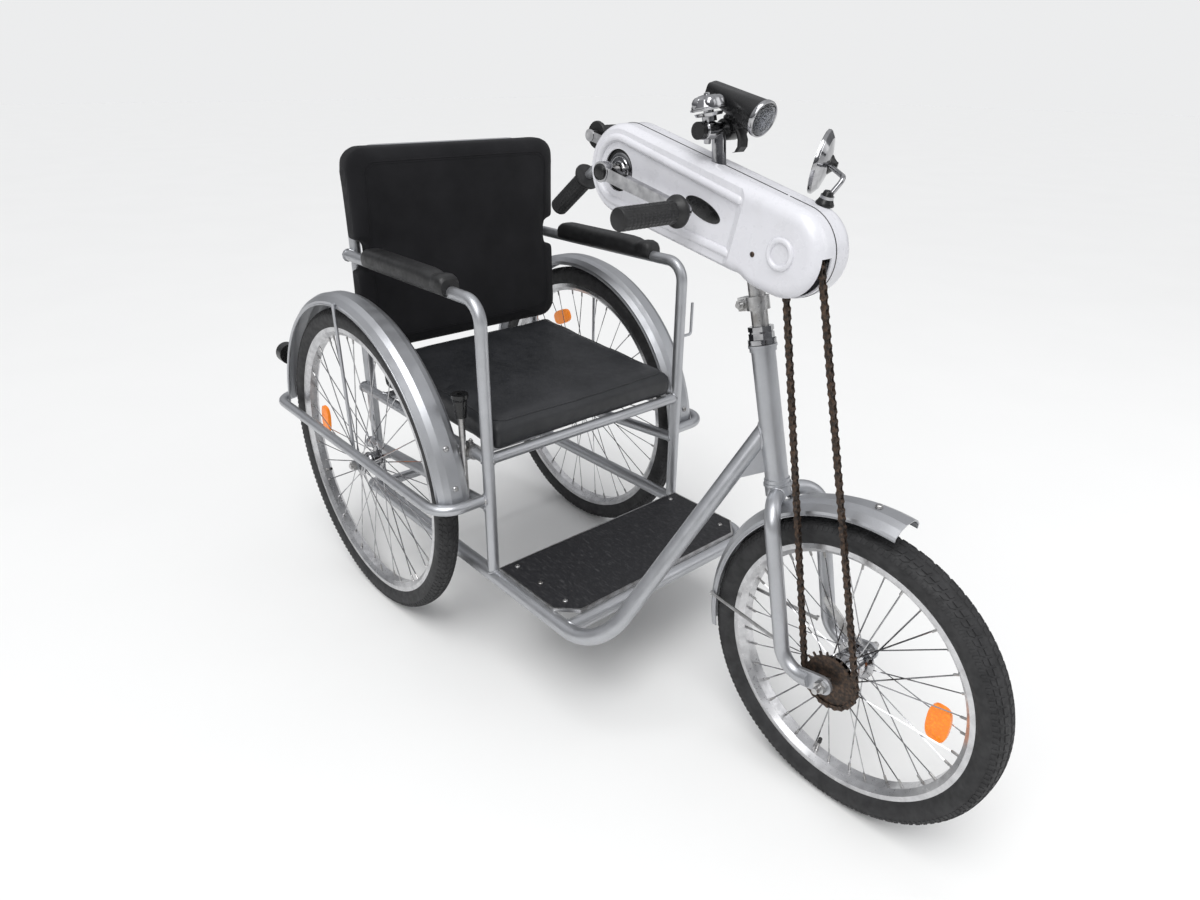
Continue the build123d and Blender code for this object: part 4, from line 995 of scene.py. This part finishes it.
def add_shell(node):
    """A copy of one half of the housing whose top runs straight."""
    data = nodes[node].data.copy()
    data.name = node + "_moulded"
    piece = new_object(node + "_moulded", data)
    origin = in_case(0, 0, 0)
    for point in data.vertices:
        reach = (point.co - origin) * 1000
        rise = reach.dot(case_up)
        share = min(max((rise - 30) / 22, 0), 1)
        point.co += case_up * (top_dip(reach.dot(case_along)) * share / 1000)
    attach(piece, "steering")
    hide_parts(node)
    return piece


def seam_loop(shell):
    """The outer edge of a shell's seam face, in order."""
    mesh = bmesh.new()
    mesh.from_mesh(shell.data)
    bmesh.ops.remove_doubles(mesh, verts=mesh.verts, dist=1e-6)
    seam = seam_y / 1000
    flat = {face for face in mesh.faces if all(abs(v.co.y - seam) < 1e-5 for v in face.verts)}
    links = {}
    for face in flat:
        for edge in face.edges:
            if sum(other in flat for other in edge.link_faces) == 1:
                first, second = edge.verts
                links.setdefault(first.index, set()).add(second.index)
                links.setdefault(second.index, set()).add(first.index)
    mesh.verts.ensure_lookup_table()
    loops = []
    left_over = set(links)
    while left_over:
        current = left_over.pop()
        loop = [current]
        while True:
            onward = [k for k in links[current] if k in left_over]
            if not onward:
                break
            current = onward[0]
            left_over.discard(current)
            loop.append(current)
        loops.append([mesh.verts[k].co.copy() for k in loop])
    mesh.free()
    return loops


def loop_length(loop):
    return sum((second - first).length for first, second in zip(loop, loop[1:]))


def add_seam():
    shells = [add_shell(node) for node in ("case_right", "case_left")]
    longest = max(seam_loop(shells[0]), key=loop_length)
    add_made("case_seam", "steering", "black_plastic", tube, [(longest, 0.8, 6)])


def add_label():
    """The oval label on the right shell, left blank."""
    tilt = radians(-6)
    first = toward(case_along, case_up, tilt)
    second = toward(case_up, -case_along, tilt)
    loops = []
    for depth, share in ((29.6, 1.0), (30.5, 1.0), (30.9, 0.95), (30.95, 0.6)):
        loops.append([
            in_case(181, depth, 8) + (first * (35 * cos(a)) + second * (12.5 * sin(a))) * (share / 1000)
            for a in turns(48)
        ])
    add_made("case_label", "steering", "black_plastic", skin, [(loops,)])


def add_crank_rings():
    """Housing screws, painted shade ring in the opening, and cups and caps round the crank's axle."""
    right = -left
    rows = [(in_case(288, 36, -12), right, 7.5, 1.2), (in_case(288, -42, -12), left, 7.5, 1.2)]
    add_made("case_screws", "steering", "dark_steel", dome_bolt, rows)
    # A black ring of painted shade, standing in for the shade inside the housing's opening round the cup.
    painted_shade_ring = [(31.5, 0), (31.5, 0.5), (30.0, 0.9), (24.0, 0.9), (24.0, 0)]
    rows = [(in_case(0, 24.8, 0), right, painted_shade_ring, 48, True)]
    add_made("crank_opening_painted_shade", "steering", "black_rubber", lathe, rows)
    right_cup = [(25.5, 0), (25.5, 1.4), (23.5, 2.6), (19.5, 2.6), (18.5, 4.0), (14, 4.6)]
    right_cup += [(12.5, 6.0), (10, 6.2), (10, 0)]
    left_cup = [(28, 0), (28, 6), (24, 8), (12, 9), (12, 0)]
    rows = [(in_case(0, 25, 0), right, right_cup, 48, True), (in_case(0, -34, 0), left, left_cup, 48, True)]
    add_made("crank_bearing_cups", "steering", "chrome", lathe, rows)
    cap = [(11.8, 0), (12.0, 1.0), (11.6, 2.6), (9.8, 4.0), (6.5, 4.8), (2, 5.0), (0.5, 5.0)]
    rows = [(spot(crank_x, y, crank_z), left * side, cap, 36) for side, y in ((-1, -95), (1, 41))]
    add_made("crank_caps", "crank", "black_plastic", lathe, rows)


# Lamp, the bell's lobes and clamp, the mirror's boots and rim, stay nuts, rear lamp lens
lamp_y = -8
lamp_rear = spot(640, lamp_y, 1050)
lamp_front = spot(731, lamp_y, 1016)
lamp_way = (lamp_front - lamp_rear).normalized()
lamp_up = left.cross(lamp_way).normalized() * -1


def lamp_loop(share, shrink=0.0):
    """A section of the lamp's body: a low box at the rear that grows into a round front."""
    half_width = 15 + 9 * share - shrink
    half_height = 10.5 + 13.5 * share - shrink
    square = 0.45 + 0.55 * min(1.0, share * 1.05)
    centre = lamp_rear.lerp(lamp_front, share)
    points = []
    for angle in turns(56):
        across = half_width * signed_power(cos(angle), square)
        rise = half_height * signed_power(sin(angle), square)
        ridge = 1.6 * max(0.0, 1 - abs(angle - pi / 2) / 0.22) * (1 - 0.6 * share)
        points.append(centre + (left * across + lamp_up * (rise + ridge)) / 1000)
    return points


def add_headlight():
    shell = [lamp_loop(0, 3.0), lamp_loop(0.0, 0.8)] + [lamp_loop(k / 14) for k in range(15)]
    piece = add_made("headlight_shell", "steering", "black_plastic", skin, [(shell,)])
    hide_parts("headlight")
    bezel = [(24.6, -3), (24.8, 1.5), (24.0, 3.0), (22.2, 3.4), (21.4, 2.2), (20.6, 0.6), (20.6, -3)]
    add_made("headlight_bezel", "steering", "chrome", lathe, [(lamp_front, lamp_way, bezel, 48, True)])
    loops = []
    first, second = square_to(lamp_way)
    for radius, height in ((21.2, 1.4), (17.5, 0.9), (13.5, 0.62), (9.5, 0.45), (5.5, 0.36), (1.0, 0.32)):
        loop = []
        for k, angle in enumerate(turns(72)):
            wave = 0.28 if k % 6 < 3 else 0.0
            place = lamp_front + lamp_way * ((height + wave) / 1000)
            loop.append(place + toward(first, second, angle) * (radius / 1000))
        loops.append(loop)
    add_made("headlight_reflector", "steering", "chrome", skin, [(loops,)], capped=False)
    lens = [(21.3, 2.0), (21.3, 2.6), (18, 3.7), (12, 4.7), (5, 5.2), (0.5, 5.25)]
    piece = add_made("headlight_glass", "steering", "clear_lens", lathe, [(lamp_front, lamp_way, lens, 48)])
    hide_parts("headlight_lens")


def add_lamp_clamp():
    """The collar, neck and knob that hold the lamp on its bar, and the strap below it."""
    mesh = bmesh.new()
    lathe(mesh, spot(672, lamp_y + 14, 1000), -left, [(13.5, 0), (14.5, 2), (14.5, 24), (13.5, 26)], 36)
    tube(mesh, [spot(672, lamp_y, 1011), spot(682, lamp_y, 1019), spot(694, lamp_y, 1024)], 9.5, 20)
    lathe(mesh, spot(688, lamp_y + 8, 1006), -left, [(7, 0), (8, 1.5), (8, 14.5), (7, 16)], 24)
    new_piece("headlight_clamp", mesh, "steering", "black_plastic")
    section = ((1, -0.8), (1, 0.8), (0.4, 1), (-1, 0.8), (-1, -0.8), (0.4, -1))
    run = [(690, 1004, 3.0), (696, 997, 3.4), (700, 988, 3.4), (700, 979, 3.2), (695, 972, 2.6)]
    run.append((690, 971, 1.6))
    loops = [[spot(x + a * thick, lamp_y + b * 9, z) for a, b in section] for x, z, thick in run]
    add_made("headlight_strap", "steering", "black_rubber", skin, [(loops,)])


def add_bell_details():
    axis = Vector((-0.15, -0.1, 1)).normalized()
    foot = spot(672, -47, 1011.2)
    first, second = square_to(axis)
    lobe = [(10.4, 0), (10.6, 5.0), (10.0, 9.0), (8.2, 12.4), (5.0, 14.8), (0.4, 15.6)]
    ways = [toward(first, second, angle + 0.3) for angle in turns(5)]
    rows = [(foot + (way * 12.8 + axis * 17.0) / 1000, axis, lobe, 24) for way in ways]
    rows += [
        (foot + axis * 0.0145, axis, [(24.2, 0), (24.8, 1.0), (24.8, 2.4), (23.4, 3.2)], 48),
        (foot + axis * 0.034, axis, [(4.5, 0), (4.3, 1.6), (2.6, 2.6), (0.4, 2.9)], 20),
        (spot(672, -58, 1000), left, [(11.2, 0), (12.2, 1.2), (12.2, 17), (11.2, 18.2)], 36),
        (spot(672, -49, 1000) - up * 0.0115, -up, [(5, 0), (5, 5), (4, 6)], 6),
    ]
    add_made("bell_details", "steering", "chrome", lathe, rows)


def add_mirror_details():
    """Boots at both ends of the mirror's arm, and the rim round its glass."""
    foot = in_case(330, -28, 67.3) - case_up * 0.0004
    foot_boot = [(12.5, 0), (12.5, 2), (10.5, 5), (7.5, 12), (6.4, 17), (5.6, 18)]
    normal = Vector((-0.87, -0.42, 0.2)).normalized()
    centre = spot(781, 60, 962)
    back_boot = [(13, 0), (13, 2.5), (9.5, 5.5), (6.2, 9.5), (5.4, 12)]
    rows = [(foot, case_up, foot_boot, 32), (centre - normal * 0.0135, -normal, back_boot, 32)]
    add_made("mirror_boots", "steering", "black_plastic", lathe, rows)
    rim = [(42.6, -3.6), (43.2, -2.0), (43.0, 0.8), (41.2, 1.8), (40.0, 1.2), (40.0, -3.6)]
    add_made("mirror_rim", "steering", "chrome", lathe, [(centre, normal, rim, 72, True)])


def add_fork_details():
    stay_angle = radians(177)
    rows = []
    for side in (-1, 1):
        rows.append((spot(891, side * 50, 262), Vector((-0.7, -0.2 * side, 0.2)).normalized(), 8, 4, 4))
        place = front_fender + left * (side * 0.0315) + toward(forward, up, stay_angle) * 0.264
        rows.append((place, left * side, 7, 3, 4))
    rows.append((front_fender + up * 0.2785 - forward * 0.010, up, 9, 3, 0))
    add_made("fender_stay_bolts", "steering", "steel", hex_nut, rows)


def add_rear_lamp_lens():
    start = spot(-394, -rear_wheel_y, 464) + forward * 0.0008
    lens = [(21.5, 0), (21.5, 1.2), (19.5, 2.6), (12, 3.8), (1, 4.2)]
    add_made("rear_lamp_lens", "frame", "red_lens", lathe, [(start, -forward, lens, 40)])


# Name, tyre, middle, section, tread, body, hub flange radius and its distance from the middle
front_middle = spot(front_axle_x, 0, front_axle_z)
wheel_rows = [
    ("rear_right", "rear_tyre_right", rear_wheel(-1), rear_tyre, rear_tread, "rear_wheel_right", 24, 21),
    ("rear_left", "rear_tyre_left", rear_wheel(1), rear_tyre, rear_tread, "rear_wheel_left", 24, 21),
    ("front", "front_tyre", front_middle, front_tyre, front_tread, "front_wheel", 31, 26),
]
# Node, middle of the wheel, rim radius, degrees up from the forward side, body
reflector_rows = [
    ("rear_reflector_right", rear_wheel(-1), 286, 171.5, "rear_wheel_right"),
    ("rear_reflector_left", rear_wheel(1), 286, 113.0, "rear_wheel_left"),
    ("front_reflector", front_middle, 209, -1.0, "front_wheel"),
]


def add_pieces():
    for node, centre, rim, angle, body in reflector_rows:
        add_reflector(node, centre, rim, radians(angle), body)
    for name, node, centre, row, tread, body, flange, flange_y in wheel_rows:
        rim = row[2]
        add_tyre(node, centre, row, tread, body)
        add_valve(name, centre, rim, radians(262 if name == "front" else 205), body)
        add_nipples(name, centre, rim, body)
        add_hub_rings(name, centre, flange, flange_y, body)
    for add in (
        add_chain, add_grips, add_welds, add_fender_edges, add_frame_bolts, add_board_edge, add_seam,
        add_label, add_crank_rings, add_headlight, add_lamp_clamp, add_bell_details, add_mirror_details,
        add_fork_details, add_rear_lamp_lens, add_cushion, add_backrest, add_pads,
    ):
        add()


# Floor, backdrop and lights
background_colour = (1.355, 1.362, 1.372)
sky_low, sky_high = (0.16, 0.165, 0.18), (1.12, 1.13, 1.16)
world_strength = 0.62


def add_stage():
    graph = Graph("pale_floor")
    graph.colour(graph.noise(2, 3), (0.84, 0.84, 0.83), (0.87, 0.87, 0.86))
    graph.set(Roughness=0.85)
    mesh = bmesh.new()
    bmesh.ops.create_grid(mesh, x_segments=1, y_segments=1, size=30)
    data = bpy.data.meshes.new("floor")
    mesh.to_mesh(data)
    mesh.free()
    floor = new_object("floor", data)
    floor.data.materials.append(graph.material)


def add_light(name, kind, place, target, **settings):
    data = bpy.data.lights.new(name, kind)
    configure(data, settings)
    light = new_object(name, data)
    light.location = place
    light.rotation_euler = (Vector(target) - Vector(place)).to_track_quat("-Z", "Y").to_euler()


def add_world():
    """A sky that is dark low down and bright above for reflections, and even for the camera."""
    world = bpy.data.worlds.new("world")
    world.use_nodes = True
    tree = world.node_tree
    background = tree.nodes["Background"]
    seen = add_node(tree, "ShaderNodeLightPath", "Is Camera Ray", {})
    place = add_node(tree, "ShaderNodeTexCoord", "Generated", {})
    height = add_node(tree, "ShaderNodeSeparateXYZ", "Z", {"Vector": place})
    rise = add_node(tree, "ShaderNodeMapRange", "Result", {"From Max": 0.75, "Value": height})
    sky = mix_node(tree, rise, sky_low, sky_high)
    tree.links.new(mix_node(tree, seen, sky, background_colour), background.inputs["Color"])
    background.inputs["Strength"].default_value = world_strength
    bpy.context.scene.world = world


add_camera()
finish_nodes()
add_pieces()
add_stage()
add_world()
add_light("key", "AREA", (1.2, -2.2, 2.6), (0, 0, 0.5), size=1.6, energy=26)
add_light("fill", "AREA", (2.4, 1.6, 2.0), (0, 0, 0.4), size=2.0, energy=12)
add_light("sun", "SUN", (1.0, -1.6, 4.2), (0, 0, 0), energy=1.5, angle=radians(40))
bpy.context.scene.view_settings.view_transform = "Standard"
